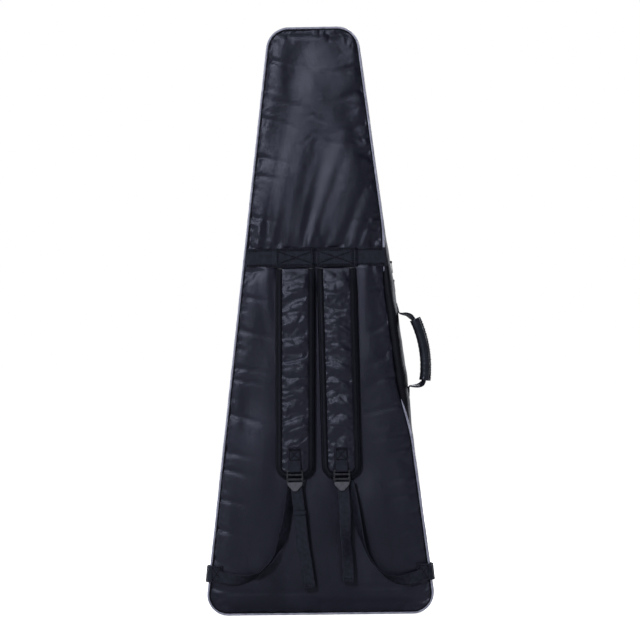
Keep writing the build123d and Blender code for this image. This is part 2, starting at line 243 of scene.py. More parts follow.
def add_object(name, verts, faces, uvs=None):
    """A smooth mesh object, with a UV map in metres where uvs gives a place for each point."""
    mesh = bpy.data.meshes.new(name)
    mesh.from_pydata(np.array(verts, float).tolist(), [], [tuple(map(int, f)) for f in faces])
    mesh.update()
    if uvs is not None:
        layer = mesh.uv_layers.new(name="Cloth")
        index = np.zeros(len(mesh.loops), int)
        mesh.loops.foreach_get("vertex_index", index)
        layer.data.foreach_set("uv", np.array(uvs, np.float32)[index].ravel())
    mesh.polygons.foreach_set("use_smooth", [True] * len(mesh.polygons))
    obj = bpy.data.objects.new(name, mesh)
    bpy.context.scene.collection.objects.link(obj)
    return obj


def outward(obj):
    """Turns a closed mesh's faces to point out of it."""
    bm = bmesh.new()
    bm.from_mesh(obj.data)
    bmesh.ops.recalc_face_normals(bm, faces=bm.faces)
    bm.to_mesh(obj.data)
    bm.free()
    return obj


def loft(name, rows, ring=False, uvs=None):
    """Skin over closed loops of points, an array (loops, points, 3). ring joins the last loop to the first;
    otherwise both ends are capped."""
    rows = np.array(rows, float)
    count, width = rows.shape[:2]
    faces = []
    for j in range(count if ring else count - 1):
        for i in range(width):
            k, m = (j + 1) % count, (i + 1) % width
            faces.append((j * width + i, j * width + m, k * width + m, k * width + i))
    if not ring:
        faces.append(tuple(range(width))[::-1])
        faces.append(tuple(range((count - 1) * width, count * width)))
    return outward(add_object(name, rows.reshape(-1, 3), faces, uvs))


def thick_sheet(name, grid, thick):
    """A closed sheet: the grid of outer points, a copy thick further along Y, and the edge between."""
    grid = np.array(grid, float)
    count, width = grid.shape[:2]
    inner = grid.copy()
    inner[..., 1] += thick
    total = count * width
    faces = []
    for j in range(count - 1):
        for i in range(width - 1):
            a, b = j * width + i, (j + 1) * width + i
            faces.append((a, a + 1, b + 1, b))
            faces.append((b + total, b + 1 + total, a + 1 + total, a + total))
    edge = list(range(width)) + [j * width + width - 1 for j in range(1, count)]
    edge += [(count - 1) * width + i for i in range(width - 2, -1, -1)]
    edge += [j * width for j in range(count - 2, 0, -1)]
    faces += [(b, a, a + total, b + total) for a, b in zip(edge, edge[1:] + edge[:1])]
    verts = np.concatenate([grid.reshape(-1, 3), inner.reshape(-1, 3)])
    return outward(add_object(name, verts, faces, verts[:, [0, 2]]))


def band(name, points, outs, section, ring, shift=None):
    """A strip that follows the rim. section is its closed cross-section as (outwards, y) pairs; shift gives
    extra outward distance and the new y at (points, outwards, y)."""
    rows = []
    for out, y in section:
        extra, ys = shift(points, out, y) if shift else (np.zeros(len(points)), np.full(len(points), y))
        places = points + outs * (out + extra[:, None])
        rows.append(np.stack([places[:, 0], ys, places[:, 1]], 1))
    rows = np.array(rows).transpose(1, 0, 2)
    uvs = [(y, s) for s in run_lengths(points) for out, y in section]
    return loft(name, rows, ring, uvs)


def flat_section(outer, inner, y_start, y_end, count):
    """Cross-section of a strip: its outer face in count steps along Y, and its inner face."""
    ys = np.linspace(y_start, y_end, count)
    return [(outer, y) for y in ys] + [(inner, y) for y in ys[::-1]]


def tube(name, path, radius, sides=12, ring=False):
    """A round tube along a path. radius is a number, or one for each point."""
    path = np.array(path, float)
    count = len(path)
    radius = np.broadcast_to(radius, (count,))
    before = np.roll(path, 1, 0) if ring else np.concatenate([path[:1], path[:-1]])
    after = np.roll(path, -1, 0) if ring else np.concatenate([path[1:], path[-1:]])
    tangents = after - before
    tangents /= np.linalg.norm(tangents, axis=1)[:, None]
    up = np.array((0.0, 1.0, 0.0)) if abs(tangents[:, 1]).max() < 0.9 else np.array((1.0, 0.0, 0.0))
    across = np.cross(tangents, up)
    across /= np.linalg.norm(across, axis=1)[:, None]
    other = np.cross(across, tangents)
    turn = np.linspace(0, 2 * math.pi, sides, endpoint=False)[None, :, None]
    spokes = np.cos(turn) * across[:, None] + np.sin(turn) * other[:, None]
    return loft(name, path[:, None] + radius[:, None, None] * spokes, ring)


def webbing(name, path, width, across=None, turns=((0, 0), (1, 0)), thick=WEB, step=2 * MM):
    """Flat webbing along a path. Its width lies along across where that is given; otherwise its face looks
    to the strap side, turned about the path by turns, as (share of the length, degrees) pairs."""
    path, at = even(path, step)
    turn = np.radians(np.interp(at / at[-1], [t[0] for t in turns], [t[1] for t in turns]))
    half, columns = width / 2, max(9, round(width / (2 * MM)) | 1)
    section = [(-half + width * i / (columns - 1), thick / 2) for i in range(columns)]
    section += [(a, -b) for a, b in reversed(section)]
    rows, uvs = [], []
    for i, spot in enumerate(path):
        tangent = path[min(i + 1, len(path) - 1)] - path[max(i - 1, 0)]
        tangent /= np.linalg.norm(tangent)
        if across is None:
            face = np.array((0.0, -1.0, 0.0))
            face -= tangent * (face @ tangent)
            face /= np.linalg.norm(face)
            side = np.cross(tangent, face)
        else:
            side = np.array(across, float)
            face = np.cross(side, tangent)
            face /= np.linalg.norm(face)
        c, s = math.cos(turn[i]), math.sin(turn[i])
        side, face = side * c + face * s, face * c - side * s
        for a, b in section:
            edge = 0.45 if abs(a) > half - 0.1 * MM else 1.0
            rows.append(spot + side * a + face * b * edge)
            uvs.append((a + half, at[i]))
    return loft(name, np.reshape(rows, (len(path), len(section), 3)), uvs=uvs)


def plate(name, outline, holes, thick, bevel, origin, tilt=0.0):
    """A flat plate facing the strap side, from its outline and holes as (x, z) points about origin, with
    rounded edges. tilt leans its foot outwards, in radians."""
    curve = bpy.data.curves.new(name, "CURVE")
    curve.dimensions = "2D"
    curve.fill_mode = "BOTH"
    curve.extrude = thick / 2 - bevel
    curve.bevel_depth = bevel
    curve.bevel_resolution = 2
    curve.offset = -bevel
    for points in [outline, *holes]:
        spline = curve.splines.new("POLY")
        spline.points.add(len(points) - 1)
        for point, (x, z) in zip(spline.points, points):
            point.co = (x, z, 0, 1)
        spline.use_cyclic_u = True
    holder = bpy.data.objects.new(name, curve)
    mesh = bpy.data.meshes.new_from_object(holder)
    bpy.data.objects.remove(holder)
    bpy.data.curves.remove(curve)
    verts = np.array([v.co for v in mesh.vertices])
    faces = [tuple(p.vertices) for p in mesh.polygons]
    bpy.data.meshes.remove(mesh)
    c, s = math.cos(tilt), math.sin(tilt)
    x, up, out = verts[:, 0], verts[:, 1], verts[:, 2]
    placed = np.stack([x, s * up - c * out, c * up + s * out], 1) + np.array(origin)
    obj = add_object(name, placed, faces)
    bm = bmesh.new()
    bm.from_mesh(obj.data)
    bmesh.ops.remove_doubles(bm, verts=bm.verts, dist=1e-6)
    bmesh.ops.recalc_face_normals(bm, faces=bm.faces)
    bm.to_mesh(obj.data)
    bm.free()
    for polygon in obj.data.polygons:
        polygon.use_smooth = polygon.area < 4e-6
    return obj


def corner_arcs(points, radius, steps=5):
    """A closed outline with every corner rounded; radius is one number or one for each corner."""
    radii = np.broadcast_to(radius, (len(points),))
    made = []
    for i in range(len(points)):
        corner, back, ahead = corner_ways(points, i)
        half = math.acos(float(np.clip(back @ ahead, -1, 1))) / 2
        reach = radii[i] / math.tan(half)
        start, end = corner + back * reach, corner + ahead * reach
        for k in range(steps + 1):
            t = k / steps
            made.append(tuple((1 - t) ** 2 * start + 2 * t * (1 - t) * corner + t * t * end))
    return made


def joined(name, objs):
    """One object in place of several, with their UV map where all of them have one."""
    verts, faces, start = [], [], 0
    for obj in objs:
        mesh = obj.data
        verts += [tuple(v.co) for v in mesh.vertices]
        faces += [tuple(i + start for i in p.vertices) for p in mesh.polygons]
        start += len(mesh.vertices)
    smooth = [p.use_smooth for obj in objs for p in obj.data.polygons]
    layers = [obj.data.uv_layers.get("Cloth") for obj in objs]
    made = add_object(name, verts, faces)
    if all(layers):
        loops = np.concatenate([np.array([d.uv for d in layer.data]) for layer in layers])
        made.data.uv_layers.new(name="Cloth").data.foreach_set("uv", loops.astype(np.float32).ravel())
    made.data.polygons.foreach_set("use_smooth", smooth)
    for obj in objs:
        bpy.data.objects.remove(obj)
    return made


STITCH, STITCH_GAP, THREAD_RADIUS = 3.2 * MM, 1.2 * MM, 0.7 * MM


def add_stitch(verts, faces, spot, along, side, up, count, lift):
    """Adds one stitch: a bead that starts at spot and runs along, with two rings of count points."""
    start = len(verts)
    verts.append(spot + lift * 0.3)
    for share in (0.2, 0.8):
        for k in range(count):
            t = 2 * math.pi * k / count
            ring = math.cos(t) * side + math.sin(t) * up
            verts.append(spot + along * STITCH * share + lift + ring * THREAD_RADIUS)
    verts.append(spot + along * STITCH + lift * 0.3)
    low, high = start + 1, start + 1 + count
    for k in range(count):
        m = (k + 1) % count
        faces.append((start, low + m, low + k))
        faces.append((low + k, low + m, high + m, high + k))
        faces.append((high + count, high + k, high + m))


def stitches(name, runs, face, body, lift=0.25 * MM):
    """Rows of thread. Each run is a line of points on the cloth, each stitch a small bead along it; face is
    the way the cloth looks."""
    face = np.array(face, float)
    verts, faces = [], []
    for run in runs:
        path = even(run, STITCH + STITCH_GAP)[0]
        for a, b in zip(path[:-1], path[1:]):
            along = (b - a) / np.linalg.norm(b - a)
            side = np.cross(along, face)
            side /= np.linalg.norm(side)
            add_stitch(verts, faces, a, along, side, np.cross(side, along), 5, face * lift)
    place(outward(add_object(name, verts, faces)), THREAD, "webbing", body)


def rim_stitches(name, run, outs, body):
    """One row of stitches along a rim, lying on its outer side."""
    both = np.concatenate([run, np.stack([outs[:, 0], 0 * outs[:, 0], outs[:, 1]], 1)], 1)
    path = even(both, STITCH + STITCH_GAP)[0]
    verts, faces = [], []
    for a, b in zip(path[:-1], path[1:]):
        spot, out = a[:3], a[3:] / np.linalg.norm(a[3:])
        along = (b[:3] - spot) / np.linalg.norm(b[:3] - spot)
        add_stitch(verts, faces, spot, along, np.cross(along, out), out, 4, 0 * out)
    place(outward(add_object(name, verts, faces)), THREAD, "webbing", body)


def sink(obj, runs, depth=1.1 * MM, width=1.5 * MM):
    """Presses a piece's strap-side face in along straight rows of stitching."""
    verts = np.array([v.co for v in obj.data.vertices])
    facing = np.array([v.normal.y for v in obj.data.vertices]) < -0.3
    near = np.full(len(verts), 9.0)
    for run in runs:
        a, b = np.array(run[0])[[0, 2]], np.array(run[-1])[[0, 2]]
        t = np.clip(((verts[:, [0, 2]] - a) @ (b - a)) / ((b - a) @ (b - a)), 0, 1)
        near = np.minimum(near, np.linalg.norm(verts[:, [0, 2]] - a - t[:, None] * (b - a), axis=1))
    verts[:, 1] += facing * depth * np.exp(-(near / width) ** 2)
    obj.data.vertices.foreach_set("co", verts.ravel())
    obj.data.update()


def box_lines(x0, x1, z0, z1, y):
    """A box of stitching with its diagonals, on a face at that y."""
    a, b, c, d = (x0, y, z0), (x1, y, z0), (x1, y, z1), (x0, y, z1)
    return [[a, b], [b, c], [c, d], [d, a], [a, c], [d, b]]


def nurbs_line(points):
    """The points of the smooth NURBS line with these control points."""
    curve = bpy.data.curves.new("route", "CURVE")
    curve.dimensions = "3D"
    curve.resolution_u = 10
    spline = curve.splines.new("NURBS")
    spline.points.add(len(points) - 1)
    for point, co in zip(spline.points, points):
        point.co = (*co, 1.0)
    spline.order_u = 3
    spline.use_endpoint_u = True
    holder = bpy.data.objects.new("route", curve)
    mesh = bpy.data.meshes.new_from_object(holder)
    line = np.array([v.co for v in mesh.vertices])
    bpy.data.objects.remove(holder)
    bpy.data.curves.remove(curve)
    bpy.data.meshes.remove(mesh)
    return line


# ---------------------------------------------------------------- cloth

CLOTH_FRAMES = 20


def drape(flat, hold, grow, pressure, seed):
    """Settles a flat cloth grid (x, z) that is cut a little larger than its place and filled from behind.
    hold is 1 where it is sewn down and small where it only clings to the foam. Returns how far each point
    moves across, outwards and up."""
    rows, columns = flat.shape[:2]
    start = np.zeros((rows, columns, 3))
    start[..., 0], start[..., 2] = flat[..., 0], flat[..., 1]
    start[..., 1] = 0.4 * MM * rough(start, 12 * MM, seed)
    faces = [(j * columns + i, j * columns + i + 1, (j + 1) * columns + i + 1, (j + 1) * columns + i)
             for j in range(rows - 1) for i in range(columns - 1)]
    obj = add_object("drape", start.reshape(-1, 3), faces)
    group = obj.vertex_groups.new(name="sewn")
    levels = np.round(hold.ravel(), 3)
    for level in np.unique(levels):
        if level > 0:
            group.add(np.nonzero(levels == level)[0].tolist(), float(level), "REPLACE")
    cloth = obj.modifiers.new("cloth", "CLOTH")
    settings = cloth.settings
    settings.quality = 5
    settings.mass = 0.1
    settings.tension_stiffness = settings.compression_stiffness = 15
    settings.shear_stiffness = 5
    settings.bending_stiffness = 0.05
    settings.vertex_group_mass = "sewn"
    settings.use_pressure = True
    settings.uniform_pressure_force = pressure
    settings.shrink_min = -grow
    settings.effector_weights.gravity = 0
    cloth.collision_settings.use_collision = False
    cloth.point_cache.frame_start = 1
    cloth.point_cache.frame_end = CLOTH_FRAMES
    for step in range(1, CLOTH_FRAMES + 1):
        bpy.context.scene.frame_set(step)
    settled = obj.evaluated_get(bpy.context.evaluated_depsgraph_get()).to_mesh()
    moved = np.array([v.co for v in settled.vertices]).reshape(rows, columns, 3)
    obj.modifiers.clear()
    bpy.data.objects.remove(obj)
    bpy.context.scene.frame_set(1)
    moved[..., 0] -= flat[..., 0]
    moved[..., 2] -= flat[..., 1]
    moved[..., 1] *= -1
    return moved


def limited(out, high, low):
    """Outward distances kept smoothly below high and above -low."""
    outward_part = high * np.tanh(out / np.maximum(high, 1e-5))
    inward_part = low * np.tanh(out / np.maximum(low, 1e-5))
    return np.where(out > 0, outward_part, inward_part)


# ---------------------------------------------------------------- materials

def new_material(name, base, roughness, specular=0.5):
    """A node material with its tree, its shader and the object coordinates that its patterns use."""
    material = bpy.data.materials.new(name)
    material.use_nodes = True
    tree = material.node_tree
    shader = tree.nodes["Principled BSDF"]
    shader.inputs["Base Color"].default_value = (*base, 1)
    shader.inputs["Roughness"].default_value = roughness
    shader.inputs["Specular IOR Level"].default_value = specular
    spot = tree.nodes.new("ShaderNodeTexCoord").outputs["Object"]
    return material, tree, shader, spot


def link(tree, a, b):
    """Joins one node's output to another's input."""
    tree.links.new(a, b)


def math_node(tree, operation, first, second):
    """The sum or product of an output and either another output or a number."""
    node = tree.nodes.new("ShaderNodeMath")
    node.operation = operation
    link(tree, first, node.inputs[0])
    if isinstance(second, float):
        node.inputs[1].default_value = second
    else:
        link(tree, second, node.inputs[1])
    return node.outputs[0]


def add_bump(tree, shader, heights, strength, distance):
    """Sums heights, as (output, factor) pairs, and feeds them to the shader as one bump."""
    total = None
    for output, factor in heights:
        part = output if factor == 1 else math_node(tree, "MULTIPLY", output, float(factor))
        total = part if total is None else math_node(tree, "ADD", total, part)
    bump = tree.nodes.new("ShaderNodeBump")
    bump.inputs["Strength"].default_value = strength
    bump.inputs["Distance"].default_value = distance
    link(tree, total, bump.inputs["Height"])
    link(tree, bump.outputs["Normal"], shader.inputs["Normal"])


def noise_node(tree, vector, scale, detail=2.0, rough_value=0.5, stretch=None):
    """Noise at that scale; stretch multiplies the coordinates first, one factor for each axis."""
    if stretch is not None:
        mapping = tree.nodes.new("ShaderNodeMapping")
        mapping.inputs["Scale"].default_value = stretch
        link(tree, vector, mapping.inputs["Vector"])
        vector = mapping.outputs["Vector"]
    node = tree.nodes.new("ShaderNodeTexNoise")
    node.inputs["Scale"].default_value = scale
    node.inputs["Detail"].default_value = detail
    node.inputs["Roughness"].default_value = rough_value
    link(tree, vector, node.inputs["Vector"])
    return node.outputs["Fac"]


def wave_node(tree, vector, scale, direction, distortion=0.0):
    """Straight waves across one axis."""
    node = tree.nodes.new("ShaderNodeTexWave")
    node.wave_type = "BANDS"
    node.bands_direction = direction
    node.inputs["Scale"].default_value = scale
    node.inputs["Distortion"].default_value = distortion
    link(tree, vector, node.inputs["Vector"])
    return node.outputs["Fac"]


def ramp_color(tree, fac, low, high, shader, start=0.3, end=0.7):
    """Colour from low to high over fac, into the shader's base colour."""
    ramp = tree.nodes.new("ShaderNodeValToRGB")
    ramp.color_ramp.elements[0].position = start
    ramp.color_ramp.elements[0].color = (*low, 1)
    ramp.color_ramp.elements[1].position = end
    ramp.color_ramp.elements[1].color = (*high, 1)
    link(tree, fac, ramp.inputs["Fac"])
    link(tree, ramp.outputs["Color"], shader.inputs["Base Color"])


def ramp_rough(tree, fac, low, high, shader):
    """Roughness from low to high over fac."""
    span = tree.nodes.new("ShaderNodeMapRange")
    span.inputs["To Min"].default_value = low
    span.inputs["To Max"].default_value = high
    link(tree, fac, span.inputs["Value"])
    link(tree, span.outputs["Result"], shader.inputs["Roughness"])


# A wave texture repeats every 2 pi / 20 of its scaled coordinate
WAVE_TURN = math.pi / 10


def threads(pitch):
    """Wave scale that repeats once in pitch metres."""
    return WAVE_TURN / pitch


def nylon(name, low, high, crinkle=1.0, shine=0.36, specular=0.5):
    """Satin nylon: fine plain weave, soft crinkles, slow colour change."""
    material, tree, shader, spot = new_material(name, high, shine, specular)
    ramp_color(tree, noise_node(tree, spot, 9, 3), low, high, shader)
    ramp_rough(tree, noise_node(tree, spot, 40, 4), shine - 0.05, shine + 0.09, shader)
    shader.inputs["Specular Tint"].default_value = (0.80, 0.82, 1.0, 1)
    crease = noise_node(tree, spot, 38, 2, 0.45, (1.0, 1.0, 0.55))
    fine = noise_node(tree, spot, 260, 2)
    weave_up = wave_node(tree, spot, threads(0.9 * MM), "Z")
    weave_across = wave_node(tree, spot, threads(0.9 * MM), "X")
    heights = [(crease, crinkle), (fine, 0.14), (weave_up, 0.05), (weave_across, 0.05)]
    add_bump(tree, shader, heights, 0.7, 1.1 * MM)
    return material


def web_material(name, low, high, rib=2.3 * MM, shine=0.6):
    """Webbing: cross ribs, a fine weave along it and uneven wear, from its UVs in metres."""
    material, tree, shader, _ = new_material(name, high, shine, 0.34)
    uv = tree.nodes.new("ShaderNodeUVMap")
    uv.uv_map = "Cloth"
    spot = uv.outputs["UV"]
    ribs = wave_node(tree, spot, threads(rib), "Y", 0.6)
    cords = wave_node(tree, spot, threads(1.1 * MM), "X", 0.4)
    fuzz = noise_node(tree, spot, 900, 2)
    mottle = noise_node(tree, spot, 120, 3)
    ramp_color(tree, math_node(tree, "MULTIPLY", ribs, mottle), low, high, shader, 0.1, 0.6)
    ramp_rough(tree, mottle, shine - 0.08, shine + 0.1, shader)
    add_bump(tree, shader, [(ribs, 1), (cords, 0.35), (fuzz, 0.3)], 0.75, 0.5 * MM)
    shader.inputs["Specular Tint"].default_value = (0.78, 0.83, 1.0, 1)
    return material


def piping_material():
    """Light coated sleeve with a fine weave and small folds."""
    material, tree, shader, spot = new_material("piping_sleeve", (0.40, 0.40, 0.48), 0.4)
    mottle = noise_node(tree, spot, 70, 4)
    ramp_color(tree, mottle, (0.27, 0.27, 0.36), (0.45, 0.45, 0.56), shader)
    ramp_rough(tree, mottle, 0.3, 0.5, shader)
    weave = noise_node(tree, spot, 1100, 2)
    folds = noise_node(tree, spot, 240, 2)
    add_bump(tree, shader, [(weave, 0.3), (folds, 0.7)], 0.5, 0.4 * MM)
    return material


def plastic(name, low, high, shine, grain=900, specular=0.5):
    """Moulded plastic, thread or foam: mottled, with a fine grain."""
    material, tree, shader, spot = new_material(name, high, shine, specular)
    ramp_color(tree, noise_node(tree, spot, 160, 3), low, high, shader)
    ramp_rough(tree, noise_node(tree, spot, 320, 3), shine - 0.06, shine + 0.1, shader)
    add_bump(tree, shader, [(noise_node(tree, spot, grain, 2), 1)], 0.25, 0.12 * MM)
    return material


def enamel():
    """Dark enamelled metal, lighter where it is worn."""
    material, tree, shader, spot = new_material("slider_enamel", (0.02, 0.02, 0.023), 0.42)
    wear = noise_node(tree, spot, 260, 4, 0.65)
    ramp_color(tree, wear, (0.012, 0.012, 0.015), (0.055, 0.055, 0.062), shader, 0.45, 0.75)
    ramp_rough(tree, wear, 0.34, 0.5, shader)
    shader.inputs["Metallic"].default_value = 0.3
    add_bump(tree, shader, [(noise_node(tree, spot, 700, 2), 1)], 0.2, 0.08 * MM)
    return material


def mesh_cloth():
    """Spacer mesh: small round holes in a knitted face."""
    base = (0.02, 0.02, 0.022)
    material, tree, shader, spot = new_material("spacer_mesh", base, 0.8)
    cells = tree.nodes.new("ShaderNodeTexVoronoi")
    cells.inputs["Scale"].default_value = 330
    cells.inputs["Randomness"].default_value = 0.15
    link(tree, spot, cells.inputs["Vector"])
    dark = tuple(0.25 * c for c in base)
    ramp_color(tree, cells.outputs["Distance"], dark, base, shader, 0.15, 0.45)
    add_bump(tree, shader, [(cells.outputs["Distance"], 1)], 0.8, 0.8 * MM)
    return material


def grip_material():
    """Smooth black wrap with fine leather grain and length-wise pulls."""
    material, tree, shader, spot = new_material("grip_wrap", (0.012, 0.012, 0.014), 0.34)
    shader.inputs["Specular Tint"].default_value = (0.80, 0.84, 1.0, 1)
    cells = tree.nodes.new("ShaderNodeTexVoronoi")
    cells.feature = "DISTANCE_TO_EDGE"
    cells.inputs["Scale"].default_value = 620
    link(tree, spot, cells.inputs["Vector"])
    mottle = noise_node(tree, spot, 90, 4)
    ramp_color(tree, mottle, (0.005, 0.005, 0.009), (0.016, 0.017, 0.026), shader)
    ramp_rough(tree, mottle, 0.26, 0.44, shader)
    folds = noise_node(tree, spot, 110, 2, 0.5, (1, 1, 0.3))
    add_bump(tree, shader, [(cells.outputs["Distance"], 0.5), (folds, 1.2)], 0.5, 0.5 * MM)
    return material


PANEL = nylon("nylon_panel", (0.0045, 0.0050, 0.0115), (0.0085, 0.0090, 0.0185))
PAD_FACE = nylon("nylon_pad", (0.0045, 0.0050, 0.0110), (0.0085, 0.0090, 0.0175), 0.9, 0.37)
# Nylon for the walls, hinge strip, piping lips, pocket wall and pocket piping: the panels' satin nylon with a
# much darker colour, which is painted shade for sides that turn away from the key lamp
PAINTED_SHADE_NYLON = nylon("nylon_wall_painted_shade", (0.0012, 0.0012, 0.0024), (0.0032, 0.0032, 0.0056), 0.8, 0.55, 0.24)
WEBBING = web_material("webbing_ribbed", (0.0014, 0.0015, 0.0032), (0.0270, 0.0280, 0.0480), shine=0.5)
BINDING = web_material("binding_tape", (0.0007, 0.0008, 0.0020), (0.0075, 0.0080, 0.0165), 1.6 * MM, 0.55)
PIPE = piping_material()
THREAD = plastic("thread", (0.0004, 0.0004, 0.0010), (0.0015, 0.0015, 0.0030), 0.7, 2400, 0.12)
LINING = nylon("lining_brushed", (0.020, 0.020, 0.022), (0.035, 0.035, 0.038), 0.5, 0.7)
TAPE = web_material("zip_tape", (0.003, 0.003, 0.004), (0.009, 0.009, 0.011), 0.8 * MM)
COIL = plastic("zip_coil", (0.008, 0.008, 0.009), (0.020, 0.020, 0.022), 0.36)
BUCKLE = plastic("buckle_plastic", (0.014, 0.014, 0.018), (0.034, 0.034, 0.042), 0.27)
TAB = plastic("buckle_tab", (0.050, 0.050, 0.062), (0.085, 0.085, 0.102), 0.42)
METAL = enamel()
FOAM = plastic("foam_block", (0.10, 0.10, 0.11), (0.17, 0.17, 0.18), 0.9, 1500)
MESH_BACK = mesh_cloth()
GRIP = grip_material()


def dress(obj, material):
    """Gives a piece its one material."""
    obj.data.materials.clear()
    obj.data.materials.append(material)


def place(obj, material, slot_name, body, *nodes, fill=None):
    dress(obj, material)
    if nodes:
        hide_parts(*nodes)
    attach(obj, body)


# ---------------------------------------------------------------- camera, floor and light

def aim(obj, target):
    """Points a camera or lamp at a place."""
    direction = Vector(target) - obj.location
    obj.rotation_euler = direction.to_track_quat("-Z", "Y").to_euler()


CAMERA_TURN = math.radians(1.5)
CAMERA_ROLL = math.radians(-0.8)
CAMERA_DISTANCE = 5.2
VIEW_WIDTH = 1.293
CENTRE = Vector((0.0060, 0.0, 0.5915))


def make_camera():
    """Camera level with the bag's middle, almost square to its strap side."""
    data = bpy.data.cameras.new("camera")
    data.sensor_width = 36
    data.lens = 36 * CAMERA_DISTANCE / VIEW_WIDTH
    data.clip_end = 50
    camera = bpy.data.objects.new("camera", data)
    bpy.context.scene.collection.objects.link(camera)
    toward = Vector((math.sin(CAMERA_TURN), -math.cos(CAMERA_TURN), 0))
    camera.location = CENTRE + CAMERA_DISTANCE * toward
    aim(camera, CENTRE)
    camera.rotation_euler.rotate_axis("Z", CAMERA_ROLL)
    bpy.context.scene.camera = camera


def area_light(name, spot, width, height, power, target_z):
    """A rectangular lamp of that size in metres and power in watts, aimed at the bag's middle line."""
    data = bpy.data.lights.new(name, "AREA")
    data.shape = "RECTANGLE"
    data.size = width
    data.size_y = height
    data.energy = power
    data.color = LAMP_COLOUR
    lamp = bpy.data.objects.new(name, data)
    bpy.context.scene.collection.objects.link(lamp)
    lamp.location = spot
    aim(lamp, (0, 0, target_z))


FLOOR_SIDE = 30.0
FLOOR_GLOW = 0.97
FLOOR_DIM = 0.04
SKY = 0.055
LAMP_COLOUR = (0.91, 0.94, 1.0)
# Each lamp's name, place, width, height, power and the height that it is aimed at
LAMPS = (
    ("key", (-1.3, -3.4, 2.15), 0.45, 0.8, 68, 0.45),
    ("top", (-0.7, -1.5, 3.1), 0.7, 0.7, 6, 0.6),
    ("side", (-2.6, -0.7, 0.9), 0.5, 1.5, 9, 0.45),
    ("fill", (2.4, -2.2, 0.9), 0.6, 1.4, 4, 0.5),
    ("back", (0.9, 2.8, 2.2), 1.2, 1.2, 70, 0.6),
    ("handle_side", (2.5, 2.0, 1.1), 0.7, 1.5, 55, 0.6),
    ("hinge_side", (-2.5, 2.0, 1.1), 0.7, 1.5, 55, 0.6),
)


def make_floor():
    """Plain pale floor, which glows for the camera and hardly lights the bag."""
    square = ((-1, -1), (1, -1), (1, 1), (-1, 1))
    corners = [(x * FLOOR_SIDE, y * FLOOR_SIDE, -0.7 * MM) for x, y in square]
    floor = add_object("floor", corners, [(0, 1, 2, 3)])
    material, tree, shader, spot = new_material("floor_paint", (0.6, 0.6, 0.6), 0.9, 0.2)
    ramp_color(tree, noise_node(tree, spot, 3, 2), (0.58, 0.58, 0.58), (0.62, 0.62, 0.62), shader)
    shader.inputs["Emission Color"].default_value = (1, 1, 1, 1)
    glow = tree.nodes.new("ShaderNodeMapRange")
    glow.inputs["To Min"].default_value = FLOOR_DIM
    glow.inputs["To Max"].default_value = FLOOR_GLOW
    link(tree, tree.nodes.new("ShaderNodeLightPath").outputs["Is Camera Ray"], glow.inputs["Value"])
    link(tree, glow.outputs["Result"], shader.inputs["Emission Strength"])
    floor.data.materials.append(material)


def make_stage():
    """Floor, white background over a weak sky, a key lamp at the upper left and weaker lamps all round."""
    make_floor()
    world = bpy.data.worlds.new("world")
    world.use_nodes = True
    tree = world.node_tree
    seen = tree.nodes["Background"]
    seen.inputs["Color"].default_value = (1, 1, 1, 1)
    light = tree.nodes.new("ShaderNodeBackground")
    light.inputs["Color"].default_value = (0.93, 0.95, 1, 1)
    light.inputs["Strength"].default_value = SKY
    mix = tree.nodes.new("ShaderNodeMixShader")
    link(tree, tree.nodes.new("ShaderNodeLightPath").outputs["Is Camera Ray"], mix.inputs["Fac"])
    link(tree, light.outputs["Background"], mix.inputs[1])
    link(tree, seen.outputs["Background"], mix.inputs[2])
    link(tree, mix.outputs["Shader"], tree.nodes["World Output"].inputs["Surface"])
    bpy.context.scene.world = world
    for lamp in LAMPS:
        area_light(*lamp)
    bpy.context.scene.view_settings.view_transform = "Standard"


make_camera()
make_stage()


# ---------------------------------------------------------------- loose webbing

TAIL_WIDTH = 24 * MM

# Routes in millimetres, and twists as (share of the length, degrees) pairs
TAILS = {
    "left": (((-45, -57.5, 268), (-43, -58.5, 246), (-38, -58.6, 205), (-33.5, -58, 150), (-25, -57.4, 100),
              (-20, -57, 55)),
             ((0, 0), (0.25, 6), (0.5, -8), (0.8, 5), (1, -4))),
    "right": (((48, -57.5, 268), (50, -58.5, 246), (52.5, -58.8, 212), (53, -58, 160), (57.5, -57.6, 112),
               (57, -57, 67)),
              ((0, 0), (0.3, -7), (0.62, 30), (0.72, 24), (1, -6))),
}
LOWER_RUNS = {
    "left": (((-52, -50, 268), (-60, -52, 222), (-69, -54, 170), (-88, -56, 118), (-126, -55, 80),
              (-174, -48, 70), (-215, -42.0, 83)),
             ((0, 30), (0.2, 48), (0.38, 40), (0.5, 80), (0.66, 84), (0.78, 40), (0.86, 4), (1, 0))),
    "right": (((60, -50, 268), (71, -52, 222), (80, -54, 172), (97, -56, 116), (131, -55, 76),
               (176, -48, 66), (216, -42.0, 83)),
              ((0, -30), (0.18, -38), (0.32, -55), (0.45, -80), (0.66, -84), (0.8, -40), (0.88, -4), (1, 0))),
}
KEEPER = ((-51, -57), (-50.5, -60.6), (-38, -61.5), (-26, -60.4), (-25.5, -57), (-26, -55.2), (-38, -55.6),
          (-50.5, -55.2), (-51, -57))
KEEPER_Z = 207


def cord_webbing(name, node, route, turns):
    """A loose run of webbing in place of its CAD node, which it hides, and points along its route."""
    line = nurbs_line([(x * MM, y * MM, z * MM) for x, y, z in route])
    obj = webbing(name, line, TAIL_WIDTH, turns=turns)
    dress(obj, WEBBING)
    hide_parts(node)
    path = even(line, 4 * MM)[0]
    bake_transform(obj)
    return path


